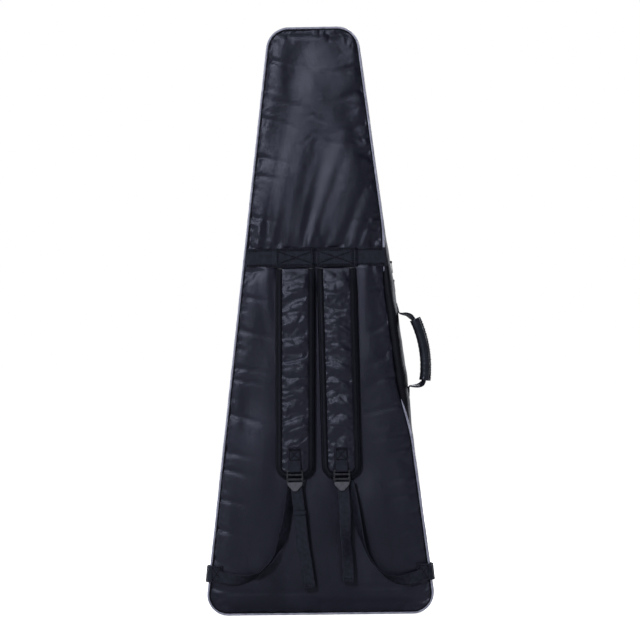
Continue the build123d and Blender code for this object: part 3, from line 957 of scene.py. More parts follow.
def loose_webs():
    """Both tails and both runs from the buckles down to the side anchors."""
    for name, (route, turns) in TAILS.items():
        strap = f"{name}_strap"
        path = cord_webbing(f"{name}_tail_web", f"{name}_tail", route, turns)
        hem = [[path[-1] + Vector((s * 9 * MM, -WEB / 2, up * MM)) for s in (-1, 1)] for up in (4, 8)]
        stitches(f"{name}_tail_hem", hem, TO_STRAP_SIDE, strap)
    for name, (route, turns) in LOWER_RUNS.items():
        cord_webbing(f"{name}_lower_run", f"{name}_lower_web", route, turns)
    keeper = [np.array((x, y, KEEPER_Z)) * MM for x, y in KEEPER]
    loop = webbing("left_tail_keeper", keeper, 9 * MM, across=(0.09, 0, 0.996), thick=1.4 * MM, step=1.5 * MM)
    place(loop, WEBBING, "webbing", "left_strap")


loose_webs()


# ---------------------------------------------------------------- bag panels and walls

PANEL_INSET = 4.2 * MM
PANEL_CLOTH = 1.0 * MM
SEAM_Y = abs(BACK_Y) - 2.6 * MM
ROLL_IN = 13 * MM


def panel_base(away):
    """How far a panel's cloth stands out of its seam at that distance from it, before it creases."""
    return 4.2 * MM * (1 - np.exp(-away / (16 * MM)))


def roll(x, z):
    """Share by which the handle's pull turns the wall round on to the strap side."""
    return ease(z, 0.34, 0.47) * ease(0.80 - z, 0, 0.16) * (np.asarray(x) > 0)


def edge_puckers(grid, away, seed):
    """Creases that run in from the seam and fade out: small even ones, and a few deep tucks."""
    x, z = grid[..., 0], grid[..., 1]
    side = np.where(x < 0, 0.6, 0.0)
    drift = rough(np.stack([side + 0 * x, z], -1), 60 * MM, seed)
    slant = z + 0.35 * away + side * 0.02
    small = np.sin(slant * 2 * math.pi / (15 * MM) + 5 * drift) * np.exp(-away / (9 * MM))
    tuck = np.sin(slant * 2 * math.pi / (58 * MM) + 7 * drift)
    deep = -np.maximum(tuck, 0) ** 5 * np.exp(-away / (26 * MM)) * (1 + rough(grid, 90 * MM, seed + 3))
    return (0.6 * MM * small + 5.5 * MM * deep) * ease(away, 0, 5 * MM)


def gathers(grid, away_up, seed):
    """Folds that fan out of a seam: broad soft ones over short sharp ones."""
    x, z = grid[..., 0], grid[..., 1]
    fan = x * (1 - 1.2 * away_up) - 0.25 * away_up
    broad = rough(np.stack([fan, z / 9], -1), 21 * MM, seed)
    sharp = rough(np.stack([fan + 0.3 * away_up, z / 4], -1), 8 * MM, seed + 5)
    rise = ease(away_up, 0, 9 * MM)
    long_folds = 13 * MM * broad * rise * np.exp(-away_up / (85 * MM))
    return long_folds + 4.5 * MM * sharp * rise * np.exp(-away_up / (20 * MM))


def swells(grid, seed):
    """Large soft hollows and a few long slanting folds."""
    x, z = grid[..., 0], grid[..., 1]
    soft = rough(grid, 150 * MM, seed)
    slanting = rough(np.stack([x + 0.55 * z, (z - 0.55 * x) / 3.0], -1), 74 * MM, seed + 2)
    upright = rough(np.stack([x - 0.1 * z, z / 4.2], -1), 52 * MM, seed + 6)
    return 4.0 * MM * soft + 6.0 * MM * slanting + 3.4 * MM * upright


def back_panel():
    """Strap-side cloth: tucked at the seams, gathered above the band, smooth swells below."""
    grid = filled(BAG, BAG_RADII, PANEL_INSET, 4.6 * MM)
    x, z = grid[..., 0], grid[..., 1]
    away = from_rim(grid, BAG, BAG_RADII, PANEL_INSET)
    middle = (YOKE_LOW.z + YOKE_HIGH.z) / 2
    in_band = np.abs(z - middle) < (YOKE_HIGH.z - YOKE_LOW.z) / 2 - 2 * MM
    hold = np.where((away < 0.5 * MM) | in_band, 1.0, 0.012)
    moved = drape(grid, hold, 0.035, 0.8, 3.0)
    above, below = np.maximum(z - YOKE_HIGH.z + 2 * MM, 0), np.maximum(YOKE_LOW.z + 2 * MM - z, 0)
    under_straps = ease(z, 0.2, 0.32) * ease(PAD_HIGH.z + 30 * MM - z, 0, 30 * MM)
    under_straps = under_straps * ease(0.112 - np.abs(x), 0, 0.03)
    settled = limited(moved[..., 1], 3.2 * MM, 2.2 * MM)
    creases = swells(grid, 9.0) * ease(away, 0, 40 * MM) + edge_puckers(grid, away, 1.0)
    gathered = np.where(above > 0, gathers(grid, above, 5.0), 0.55 * gathers(grid, below, 8.0))
    creases += gathered * ease(away, 0, 10 * MM)
    out = limited(settled + creases, 7.0 * MM - 5.8 * MM * under_straps, 5.0 * MM)
    out = np.where(in_band, np.minimum(out, 0.2 * MM), out)
    x = x - roll(x, z) * ROLL_IN * np.exp(-away / (28 * MM))
    y = -(SEAM_Y + panel_base(away) + out)
    drift = 0.5 * ease(away, 0, 12 * MM)
    places = np.stack([x + drift * moved[..., 0], y, z + drift * moved[..., 2]], -1)
    cloth = thick_sheet("back_cloth", places, PANEL_CLOTH)
    place(cloth, PANEL, "shell_cloth", "shell", "back_panel_cloth", fill=0.5)


def front_panel():
    """Pocket-side cloth, kept flat where the pocket is sewn to it."""
    grid = filled(BAG, BAG_RADII, PANEL_INSET, 5.4 * MM)
    x, z = grid[..., 0], grid[..., 1]
    away = from_rim(grid, BAG, BAG_RADII, PANEL_INSET)
    from_pocket = from_rim(grid, POCKET, POCKET_RADII, 0)
    inside = np.abs(x) < POCKET_HIGH.x - SLOPE * (z - POCKET_LOW.z)
    inside &= (z > POCKET_LOW.z) & (z < POCKET_HIGH.z)
    hold = np.where((away < 0.5 * MM) | (from_pocket < 3 * MM), 1.0, 0.015)
    moved = drape(grid, hold, 0.04, 1.2, 8.0)
    high = np.where(inside, 0.5 * MM, 4.5 * MM * ease(from_pocket, 0, 30 * MM) + 0.3 * MM)
    creases = (swells(grid, 2.0) * ease(away, 0, 40 * MM) + edge_puckers(grid, away, 4.0)) * ~inside
    out = limited(moved[..., 1] + creases * ease(from_pocket, 0, 20 * MM), high, 2.4 * MM)
    y = SEAM_Y + np.minimum(panel_base(away), np.where(inside, 2.4 * MM, 9)) + out
    cloth = thick_sheet("front_cloth", np.stack([x, y, z], -1), -PANEL_CLOTH)
    place(cloth, PANEL, "shell_cloth", "cover", "front_panel_cloth", fill=0.5)


def inner_sheets():
    """Foam boards and quilted lining of both halves."""
    for side, half, body in ((-1, "back", "shell"), (1, "front", "cover")):
        low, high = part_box(f"{half}_panel_foam")
        inner, outer = sorted((low.y, high.y), key=abs)
        inset = low.z
        grid = filled(BAG, BAG_RADII, inset, 16 * MM)
        away = from_rim(grid, BAG, BAG_RADII, inset)
        thick = (abs(outer) - abs(inner)) * 0.55
        y = side * (abs(inner) + thick + 1.0 * MM * ease(away, 0, 20 * MM) - 1.0 * MM)
        foam = thick_sheet(f"{half}_foam", np.stack([grid[..., 0], y, grid[..., 1]], -1), -side * thick)
        place(foam, FOAM, "foam", body, f"{half}_panel_foam")
        low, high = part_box(f"{half}_panel_lining")
        grid = filled(BAG, BAG_RADII, low.z, 7 * MM)
        x, z = grid[..., 0], grid[..., 1]
        away = from_rim(grid, BAG, BAG_RADII, low.z)
        pitch = 64 * MM
        quilt = np.minimum(*[np.abs(np.sin(line * math.pi / pitch)) for line in (x + z, x - z)])
        swell = (1.3 * MM * quilt ** 0.5 + 0.5 * MM * rough(grid, 30 * MM, side)) * ease(away, 0, 14 * MM)
        y = side * (abs(inner) - 0.1 * MM - np.maximum(swell, 0))
        lining = thick_sheet(f"{half}_lining", np.stack([x, y - side * 0.7 * MM, z], -1), side * 0.7 * MM)
        place(lining, LINING, "lining", body, f"{half}_panel_lining", fill=0.3)


# The turned wall's cross-section: share of the way from its strap-side edge, outwards and y
TURNED_SHARE = (0, 0.10, 0.22, 0.36, 0.52, 0.70, 0.86, 1)
TURNED_OUT = np.array((-16.5, -13.5, -9.0, -4.0, 0.8, 4.4, 4.0, 0)) * MM
TURNED_Y = np.array((-33.6, -37.0, -38.6, -37.2, -31.5, -20.5, -8.5, 3)) * MM


def wall_shape(low, high, pulled):
    """How far a wall strip between its edges at y low and high stands outwards, and its y: folds, and on
    the strap side the turn that the handle gives it."""
    def shift(points, side, y):
        """Outward shift and y of the wall's points on the strip's line at that y."""
        x, z = points[:, 0], points[:, 1]
        across = min(max((y - low) / (high - low), 0), 1)
        folds = rough(np.stack([x, np.full(len(x), y * 3), z], -1), 28 * MM, 4.0 + high * 100)
        straight = ease(z, 0.02, 0.08) * ease(HEIGHT - z, 0.02, 0.08)
        out = math.sin(math.pi * across) * (0.6 * MM + 0.9 * MM * folds * straight)
        if not pulled:
            return out, y + 0 * x
        turned = roll(x, z)
        deep = rough(np.stack([x, np.full(len(x), y), z], -1), 30 * MM, 7.0) * math.sin(math.pi * across)
        out = out + turned * (np.interp(across, TURNED_SHARE, TURNED_OUT) + 2.6 * MM * deep)
        inner = 1.1 * MM * (1 - across) if side < 0 else 0
        to_turned = np.interp(across, TURNED_SHARE, TURNED_Y) - y + inner
        return out, y + turned * (to_turned + 1.5 * MM * deep)
    return shift


def walls():
    """Wall strips of both halves, their lining, and the strip that the cover hinges on."""
    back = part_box("shell_left_wall")
    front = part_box("cover_left_wall")
    points, outs = rim(BAG, BAG_RADII, 0, 6 * MM)
    for half, (low, high), pulled in (("shell", back, True), ("cover", front, False)):
        section = flat_section(0, -CLOTH, low.y, high.y, 19 if pulled else 5)
        wall = band(f"{half}_gusset", points, outs, section, True, wall_shape(low.y, high.y, pulled))
        sides = [f"{half}_{side}_wall" for side in ("left", "right", "head", "foot")]
        # The wall nylon's dark colour is painted shade, not a darker cloth
        place(wall, PAINTED_SHADE_NYLON, "shell_cloth", half, *sides, fill=0.3)
        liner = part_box(f"{half}_wall_lining")
        outside = -CLOTH - 0.1 * MM
        inside = -liner[0].z - 0.8 * MM
        free, fixed = (liner[1].y, liner[0].y) if half == "shell" else (liner[0].y, liner[1].y)
        lip = math.copysign(0.7 * MM, free - fixed)
        loop = [(inside, fixed), (inside, free + lip), (outside, free + lip), (outside, free),
                (inside + 0.7 * MM, free), (inside + 0.7 * MM, fixed)]
        lining = band(f"{half}_gusset_lining", points, outs, loop, True)
        place(lining, LINING, "lining", half, f"{half}_wall_lining")
    run, out = hinge_run(0, 8 * MM)
    low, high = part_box("hinge_strip")
    hinge = band("hinge_cloth", run, out, flat_section(0, -CLOTH, low.y, high.y, 9), False,
                 lambda p, out, y: (0.5 * MM * rough(p, 20 * MM, 3.0), np.full(len(p), y)))
    dress(hinge, PAINTED_SHADE_NYLON)
    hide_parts("hinge_strip")
    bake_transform(hinge)


SLEEVE_RADIUS = 2.05 * MM


def lip_shift(points, out, y):
    """Keeps the piping's sewn lip beside it where the wall is turned."""
    turned = roll(points[:, 0], points[:, 1])
    return -turned * (ROLL_IN - 1 * MM), y + turned * 3.5 * MM


def pipings():
    """Light piping round both faces, a sleeve over a cord with its sewn lip."""
    for half, side, body in (("back", -1, "shell"), ("front", 1, "cover")):
        low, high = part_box(f"{half}_piping")
        middle = (low.y + high.y) / 2
        points, outs = rim(BAG, BAG_RADII, PIPING / 2, 4 * MM)
        path = np.stack([points[:, 0], np.full(len(points), middle), points[:, 1]], 1)
        path[:, [0, 2]] += outs * (0.3 * MM * rough(path, 9 * MM, side) + 0.25 * MM)[:, None]
        if side < 0:
            turned = roll(path[:, 0], path[:, 2])
            path[:, [0, 2]] -= outs * (turned * (ROLL_IN - 1 * MM))[:, None]
            path[:, 1] += turned * 3.5 * MM
        radius = SLEEVE_RADIUS * (1 + 0.07 * rough(path, 5 * MM, 2.0))
        cord = tube(f"{half}_piping_sleeve", path, radius, 14, True)
        place(cord, PIPE, "piping", body, f"{half}_piping")
        foot = low.y if side < 0 else high.y
        section = [(-1.6 * MM, foot - side * 1.5 * MM), (-4.2 * MM, foot - side * 0.9 * MM),
                   (-4.6 * MM, foot - side * 1.4 * MM), (-1.6 * MM, foot - side * 2.6 * MM)]
        tape = band(f"{half}_piping_lip", points, outs, section, True, lip_shift if side < 0 else None)
        place(tape, PAINTED_SHADE_NYLON, "piping", body)


def zips():
    """Both tapes of the main zip with their coils of teeth, round all but the hinged side."""
    points, outs = zipped(*rim(BAG, BAG_RADII, 0, 6 * MM))
    line, line_outs = zipped(*rim(BAG, BAG_RADII, 0, 2.0 * MM))
    for half, toward in (("shell", 1), ("cover", -1)):
        tape_low, tape_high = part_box(f"{half}_zip_tape")
        section = flat_section(-0.2 * MM, -CLOTH, tape_low.y, tape_high.y, 5)
        tape = band(f"{half}_zipper_tape", points, outs, section, False)
        place(tape, TAPE, "zip_tape", half, f"{half}_zip_tape")
        coil_low, coil_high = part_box(f"{half}_zip_coil")
        meet = coil_high.y if toward > 0 else coil_low.y
        behind = flat_section(-2.5 * MM, -2.8 * MM, meet - toward * 6 * MM, meet - toward * 0.05 * MM, 3)
        place(band(f"{half}_zip_backing", points, outs, behind, False), TAPE, "zip_tape", half)
        coil = teeth(f"{half}_zipper_coil", line, line_outs, meet, toward)
        place(coil, COIL, "zip_coil", half, f"{half}_zip_coil")
        seam_y = (tape_low.y if toward > 0 else tape_high.y) + toward * 1.2 * MM
        run = np.stack([points[:, 0], np.full(len(points), seam_y), points[:, 1]], 1)
        run[:, [0, 2]] += outs * 0.05 * MM
        rim_stitches(f"{half}_zip_seam", run, outs, half)


def tooth_faces(start):
    """Faces of a closed tooth whose three rings of four points start there."""
    faces = []
    for k in (start, start + 4):
        for m in range(4):
            n = (m + 1) % 4
            faces.append((k + m, k + n, k + 4 + n, k + 4 + m))
    return faces + [(start + 3, start + 2, start + 1, start), (start + 8, start + 9, start + 10, start + 11)]


def teeth(name, line, outs, meet, toward):
    """Coil teeth: one small bead for each step of the line, reaching to the meeting line."""
    verts, faces = [], []
    for p, o in zip(line, outs):
        along = np.array((-o[1], o[0]))
        faces += tooth_faces(len(verts))
        for reach, half, tall in ((2.6, 0.55, 0.5), (0.9, 0.6, 0.75), (0, 0.45, 0.45)):
            for a, b in ((-1, -1), (1, -1), (1, 1), (-1, 1)):
                q = p - o * 1.55 * MM + o * b * tall * MM + along * a * half * MM
                verts.append((q[0], meet - toward * reach * MM, q[1]))
    return outward(add_object(name, verts, faces))


back_panel()
front_panel()
inner_sheets()
walls()
pipings()
zips()


# ---------------------------------------------------------------- pocket and zip hardware

def pocket():
    """Accessory pocket: side wall and face cloth with a sunk zip across it."""
    wall_low, wall_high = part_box("pocket_wall")
    points, outs = rim(POCKET, POCKET_RADII, 0, 6 * MM)
    foot, top = wall_low.y, wall_high.y
    section = [(0.5 * MM, foot), (1.0 * MM, foot + 6 * MM), (0.3 * MM, top - 5 * MM),
               (-1.5 * MM, top + 0.4 * MM), (-3.0 * MM, top - 0.4 * MM), (-1.6 * MM, top - 5 * MM),
               (-1.0 * MM, foot + 6 * MM), (-0.7 * MM, foot)]

    def folds(p, out, y):
        """Creases in the wall between its foot and its piped top."""
        crease = rough(np.stack([p[:, 0], np.full(len(p), y), p[:, 1]], -1), 26 * MM, 6.0)
        swell = math.sin(math.pi * (y - foot) / (top + MM - foot)) if y < top else 0
        return 1.6 * MM * swell * crease, np.full(len(p), y)

    wall = band("pocket_gusset", points, outs, section, True, folds)
    place(wall, PAINTED_SHADE_NYLON, "shell_cloth", "cover", "pocket_wall")
    grid = filled(POCKET, POCKET_RADII, 2.2 * MM, 5 * MM)
    x, z = grid[..., 0], grid[..., 1]
    away = from_rim(grid, POCKET, POCKET_RADII, 2.2 * MM)
    mouth_low, mouth_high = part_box("pocket_zip_tape")
    middle, reach = (mouth_low.z + mouth_high.z) / 2, (mouth_high.z - mouth_low.z) / 2
    to_mouth = np.maximum(np.abs(x) - mouth_high.x, np.abs(z - middle) - reach)
    sunk = 1 - ease(to_mouth, -1 * MM, 4 * MM)
    moved = drape(grid, np.where((away < 0.5 * MM) | (to_mouth < 3 * MM), 1.0, 0.012), 0.05, 1.5, 11.0)
    out = limited(moved[..., 1], 5 * MM * ease(to_mouth, 0, 30 * MM) + 0.2 * MM, 1.5 * MM)
    out += 0.8 * edge_puckers(grid, away, 7.0) * (1 - sunk)
    y = POCKET_HIGH.y - 1.4 * MM + 0.7 * panel_base(away) + out - (2.6 * MM + 0.7 * panel_base(away)) * sunk
    face = thick_sheet("pocket_face", np.stack([x, y, z], -1), -PANEL_CLOTH)
    place(face, PANEL, "shell_cloth", "cover", "pocket_panel", fill=0.3)
    seam = rim(POCKET, POCKET_RADII, 0.6 * MM, 4 * MM)[0]
    path = np.stack([seam[:, 0], np.full(len(seam), top + 1.2 * MM), seam[:, 1]], 1)
    place(tube("pocket_piping", path, 1.9 * MM, 10, True), PAINTED_SHADE_NYLON, "piping", "cover")
    pocket_zip(mouth_low.x, mouth_high.x, mouth_high.y, middle, reach)


def pocket_zip(left, right, y, middle, reach):
    """The pocket's zip, its tapes each reach wide on both sides of middle, its teeth and seams."""
    strips, coils = [], []
    for side in (-1, 1):
        rows = [[(px, y + 0.3 * MM * math.sin(3 * px / MM / 40), pz) for px in np.linspace(left, right, 60)]
                for pz in np.linspace(middle + side * 0.4 * MM, middle + side * reach, 6)]
        strips.append(thick_sheet("strip", rows, -0.7 * MM))
        line = np.stack([np.linspace(left, right, 110), np.full(110, middle + side * 0.2 * MM)], 1)
        coils.append(pocket_teeth(line, side, y - 0.4 * MM))
    place(joined("pocket_zipper_tape", strips), TAPE, "zip_tape", "cover", "pocket_zip_tape")
    place(joined("pocket_zipper_coil", coils), COIL, "zip_coil", "cover", "pocket_zip_coil")
    runs = [[(x, y + 0.3 * MM, middle + side * 7.5 * MM) for x in (left, right)] for side in (-1, 1)]
    stitches("pocket_zip_seams", runs, (0, 1, 0), "cover")


def pocket_teeth(line, side, y):
    """Teeth along a straight zip, reaching from its tape to the middle."""
    verts, faces = [], []
    for x, z in line:
        faces += tooth_faces(len(verts))
        for reach, half, tall in ((2.4, 0.5, 0.5), (0.8, 0.6, 0.9), (0.05, 0.4, 0.5)):
            for a, b in ((-1, -0.3), (1, -0.3), (1, 1), (-1, 1)):
                verts.append((x + a * half * MM, y + b * tall * MM, z + side * reach * MM))
    return outward(add_object("teeth", verts, faces))


def repaint(node, material, bevel=None):
    """Gives a CAD node its material, and rounds its edges where bevel is given."""
    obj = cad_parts[node]
    for slot in obj.material_slots:
        slot.material = material
    if bevel:
        mod = obj.modifiers.new("edges", "BEVEL")
        mod.width = bevel
        mod.segments = 2
        mod.limit_method = "ANGLE"
        mod.harden_normals = False


def zip_hardware():
    """Sliders and pulls keep their CAD shape."""
    for name in ("lower", "upper", "pocket"):
        repaint(f"{name}_slider", METAL, 0.25 * MM)
        repaint(f"{name}_pull", METAL, 0.25 * MM)


# ---------------------------------------------------------------- inside

def softened(name, node, voxel, seed):
    """A soft block from its CAD solid: remeshed, smoothed and lightly creased."""
    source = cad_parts[node]
    obj = bpy.data.objects.new(name, source.data.copy())
    obj.data.name = name
    bpy.context.scene.collection.objects.link(obj)
    mod = obj.modifiers.new("remesh", "REMESH")
    mod.mode = "VOXEL"
    mod.voxel_size = voxel
    mod = obj.modifiers.new("smooth", "SMOOTH")
    mod.factor, mod.iterations = 0.5, 8
    mesh = bpy.data.meshes.new_from_object(obj.evaluated_get(bpy.context.evaluated_depsgraph_get()))
    obj.modifiers.clear()
    obj.data = mesh
    verts = np.array([v.co for v in mesh.vertices])
    normals = np.array([v.normal for v in mesh.vertices])
    verts += normals * (0.5 * MM * (0.6 + 0.6 * rough(verts, 18 * MM, seed)))[:, None]
    mesh.vertices.foreach_set("co", verts.ravel())
    mesh.polygons.foreach_set("use_smooth", [True] * len(mesh.polygons))
    mesh.update()
    place(obj, LINING, "lining", "shell", node, fill=0.8)


def inside():
    """Neck cradle with its strap, and the bumper under the instrument's tail."""
    softened("neck_cradle_pad", "neck_cradle", 2.4 * MM, 1.0)
    softened("foot_bumper_pad", "foot_bumper", 3 * MM, 2.0)
    low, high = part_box("neck_strap")
    y, z = (low.y + high.y) / 2, (low.z + high.z) / 2
    path = [(x, y + 0.5 * MM * math.sin(x / MM / 9), z) for x in np.linspace(low.x, high.x, 30)]
    strap = webbing("neck_strap_web", path, high.z - low.z, across=(0, 0, 1))
    place(strap, WEBBING, "webbing", "shell", "neck_strap")
    repaint("shell_wall_foam", FOAM)
    repaint("cover_wall_foam", FOAM)


# ---------------------------------------------------------------- yoke band

def yoke_lift(x):
    """How far the yoke band rides up over the two strap ends under it."""
    over = ease(PAD_HIGH.x + 2 * MM - np.abs(x), 0, 8 * MM) * ease(np.abs(x), 0, 6 * MM)
    return 4.2 * MM * over


def yoke_front(x, z):
    """y of the band's face."""
    away = (half_width(z) - PANEL_INSET) * math.cos(TILT) - np.abs(x)
    return -(abs(BACK_Y) - 2.6 * MM + panel_base(np.maximum(away, 0)) + 2.2 * MM + yoke_lift(x)
             + 0.35 * MM * math.sin(x / (17 * MM)))


def yoke():
    """Band of wide webbing across the back, sewn along both edges and boxed over the straps."""
    rows = []
    columns = np.linspace(-1, 1, 241)
    heights = np.linspace(YOKE_LOW.z, YOKE_HIGH.z, 31)
    for z in heights:
        half = half_width(z) - PIPING * 0.75
        edge = 0.5 * MM if z in (heights[0], heights[-1]) else 0
        rows.append([(x, yoke_front(x, z) + edge, z + 0.5 * MM * math.sin(x / (31 * MM)))
                     for x in columns * half])
    obj = thick_sheet("yoke_webbing", rows, WEB)
    across = np.array([v.co for v in obj.data.vertices])
    index = np.zeros(len(obj.data.loops), int)
    obj.data.loops.foreach_get("vertex_index", index)
    uvs = np.stack([across[:, 2], across[:, 0]], 1)
    obj.data.uv_layers["Cloth"].data.foreach_set("uv", uvs[index].astype(np.float32).ravel())
    place(obj, WEBBING, "webbing", "shell", "yoke_band")

    def on_band(line):
        """Points along a line of (x, z) ends, laid on the band's face."""
        ends = even([(a, 0, b) for a, b in line], 2.5 * MM)[0]
        return [(x, yoke_front(x, z), z) for x, y, z in ends]

    low, high = YOKE_LOW.z, YOKE_HIGH.z
    runs = []
    for inset in (2.2 * MM, 4.6 * MM):
        for z in (low + inset, high - inset):
            half = half_width(z) - 9 * MM
            runs.append(on_band([(-half, z), (half, z)]))
    for side in (-1, 1):
        inner, outer = side * 4.5 * MM, side * (PAD_HIGH.x - 9 * MM)
        a, b = low + 6 * MM, high - 6 * MM
        runs += [on_band([(inner, a), (outer, b)]), on_band([(inner, b), (outer, a)])]
        for x in (inner, inner + side * 2.6 * MM, outer, outer - side * 2.6 * MM):
            runs.append(on_band([(x, low + 5 * MM), (x, high - 5 * MM)]))
    sink(obj, runs)
    stitches("yoke_seams", runs, TO_STRAP_SIDE, "shell", -0.35 * MM)


# ---------------------------------------------------------------- shoulder straps

PAD_EDGE = 10.8 * MM


def pad_lift(z):
    """Share of the pad's full thickness at height z: it thins out under the yoke band."""
    return 0.26 + 0.74 * ease(PAD_HIGH.z - z, -4 * MM, 42 * MM)


def pad_front(z, depth):
    """y of a pad's front, where depth is how far it stands from the pad's back at full thickness."""
    return PAD_HIGH.y - depth * pad_lift(z)


def pad_binding(side, name):
    """Webbing folded over the pad's edge, down one side, round the foot and up the other."""
    foot, right, _, left = four_curves(pad_corners(side), PAD_RADII)
    line, at = even(np.concatenate([left[::-1][1:], foot[1:], right[1:-1]]), 3.2 * MM)
    along = np.gradient(line, axis=0)
    along /= np.linalg.norm(along, axis=1)[:, None]
    outs = np.stack([along[:, 1], -along[:, 0]], 1)
    section = [(-11.8, 13.6), (-7, 13.2), (-2.4, 12.0), (0.3, 9.2), (1.1, 6.0), (0.6, 3.0), (-1.6, 0.9),
               (-8, 0.1), (-8, 1.0), (-2.4, 1.8), (-0.5, 3.3), (0, 6.0), (-0.7, 8.6), (-3.0, 10.9), (-7, 12.1),
               (-11.8, 12.5)]
    rows, uvs = [], []
    total = np.concatenate([[0], np.cumsum([math.dist(a, b) for a, b in zip(section, section[1:])])])
    for p, o, s in zip(line, outs, at):
        wave = 0.35 * MM * noise.noise(Vector((p[0] / 0.02, side, p[1] / 0.016)))
        row = []
        for (n, d), t in zip(section, total):
            q = p + o * (n * MM + wave)
            row.append((q[0], pad_front(p[1], (d + 0.5 * (d / 13)) * MM) - wave * d / 13, q[1]))
            uvs.append((t * MM, s))
        rows.append(row)
    obj = loft(f"{name}_binding", rows, uvs=uvs)
    place(obj, BINDING, "webbing", f"{name}_strap", f"{name}_pad_binding")
    runs = []
    for n, d in ((-9.8, 14.0), (-3.6, 12.9)):
        seam = line + outs * n * MM
        runs.append([(q[0], pad_front(p[1], d * MM), q[1]) for p, q in zip(line, seam)])
    stitches(f"{name}_binding_seams", runs, TO_STRAP_SIDE, f"{name}_strap")


def pad_body(side, name):
    """Face cloth over the foam, puckered between its two bound edges, and the mesh at its back."""
    corners = pad_corners(side)
    tall_corners = pad_corners(side, PAD_EDGE)
    grid = filled(tall_corners, PAD_RADII, PAD_EDGE, 2.5 * MM)
    x, z = grid[..., 0], grid[..., 1]
    away = from_rim(grid, tall_corners, PAD_RADII, PAD_EDGE)
    middle = pad_middle(side, z)
    patch_low, patch_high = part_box(f"{name}_strap_patch")
    to_patch = np.maximum(np.abs(x - middle) - (patch_high.x - patch_low.x) / 2, z - patch_high.z)
    hold = np.where((away < 0.4 * MM) | (to_patch < 2 * MM), 1.0, 0.004)
    moved = drape(grid, hold, 0.06, 1.4, 20.0 + side * 3)
    tall = np.where(to_patch < 14 * MM, 1.2 * MM, 4.2 * MM)
    slanted = z + 0.30 * side * (x - middle)
    across = x - middle
    wander = 7 * MM * rough(np.stack([across / 1.5, z], -1), 30 * MM, 5.0 + side)
    creases = rough(np.stack([across / 2.2, slanted + wander], -1), 23 * MM, 3.0 + side)
    folds = 1 - 2 * np.abs(rough(np.stack([across / 2.0, slanted - wander], -1), 34 * MM, 9.0 - side))
    wrinkle = (5.2 * MM * creases - 2.4 * MM * np.maximum(folds, 0) ** 6) * ease(away, 0, 8 * MM)
    wrinkle *= ease(to_patch, 0, 16 * MM)
    tucks = np.sin(z / (2.3 * MM) + 6 * rough(np.stack([x * 0 + side, z], -1), 34 * MM, 6.0))
    wrinkle += 1.3 * MM * tucks * np.exp(-away / (6.5 * MM)) * ease(away, 0, 1.5 * MM)
    out = limited(0.35 * moved[..., 1] * ease(away, 0, 3 * MM) + wrinkle, tall, 2.8 * MM)
    base = 12.3 * MM + 3.6 * MM * (1 - np.exp(-away / (8 * MM)))
    depth = np.where(to_patch < 0, np.minimum(base + out, 14.0 * MM), base + out)
    y = PAD_HIGH.y - depth * pad_lift(z)
    drift = 0.6 * ease(away, 0, 5 * MM)
    places = np.stack([x + drift * moved[..., 0], y, z + drift * moved[..., 2]], -1)
    cloth = thick_sheet(f"{name}_face", places, 0.9 * MM)
    place(cloth, PAD_FACE, "pad_cloth", f"{name}_strap", f"{name}_pad_cloth", fill=0.8)
    inner = filled(pad_corners(side, 3 * MM), PAD_RADII, 3 * MM, 8 * MM)
    rounded = 0.55 + 0.45 * ease(from_rim(inner, corners, PAD_RADII, 3 * MM), 0, 9 * MM)
    y = PAD_HIGH.y - 1.5 * MM - 0.95 * 9.4 * MM * pad_lift(inner[..., 1]) * rounded
    foam = thick_sheet(f"{name}_foam", np.stack([inner[..., 0], y, inner[..., 1]], -1), 0)
    fill = np.array([v.co for v in foam.data.vertices])
    fill[len(fill) // 2:, 1] = PAD_HIGH.y - 1.3 * MM * pad_lift(fill[len(fill) // 2:, 2])
    foam.data.vertices.foreach_set("co", fill.ravel())
    place(outward(foam), FOAM, "foam", f"{name}_strap", f"{name}_pad_foam")
    back = filled(pad_corners(side, 6 * MM), PAD_RADII, 6 * MM, 4 * MM)
    y = PAD_HIGH.y - (0.9 * MM + 0.25 * MM * rough(back, 14 * MM, side)) * pad_lift(back[..., 1])
    mesh = thick_sheet(f"{name}_backing", np.stack([back[..., 0], y, back[..., 1]], -1), 0.5 * MM)
    place(mesh, MESH_BACK, "pad_mesh", f"{name}_strap", f"{name}_pad_backing")


def strap_patch(name):
    """Doubled webbing that holds the buckle's top bar, with its boxed stitching."""
    low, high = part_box(f"{name}_strap_patch")
    x = (low.x + high.x) / 2
    around = 2.7 * MM
    face = PAD_HIGH.y - 14.4 * MM
    path = [(x, face - 1.9 * MM, high.z), (x, face - 2.0 * MM, high.z - 14 * MM),
            (x, face - 2.4 * MM, BAR_Z + 18 * MM), (x, BAR_Y - around + 0.6 * MM, BAR_Z + 8 * MM)]
    path += [(x, BAR_Y - around * math.cos(a), BAR_Z - around * math.sin(a))
             for a in np.linspace(0, math.pi, 9)]
    path += [(x, face - 0.9 * MM, BAR_Z + 9 * MM), (x, face - 0.2 * MM, BAR_Z + 16 * MM),
             (x, face, high.z - 1 * MM)]
    web = webbing(f"{name}_patch", path, high.x - low.x, across=CROSSWISE, thick=1.6 * MM, step=1.2 * MM)
    place(web, WEBBING, "webbing", f"{name}_strap", f"{name}_strap_patch")
    y = face - 2.8 * MM
    half = (high.x - low.x) / 2 - 2.2 * MM
    runs = box_lines(x - half, x + half, high.z - 24 * MM, high.z - 2.5 * MM, y)
    runs += [[(x - half, y, high.z - 4.6 * MM), (x + half, y, high.z - 4.6 * MM)]]
    sink(web, runs)
    stitches(f"{name}_patch_seams", runs, TO_STRAP_SIDE, f"{name}_strap", -0.3 * MM)


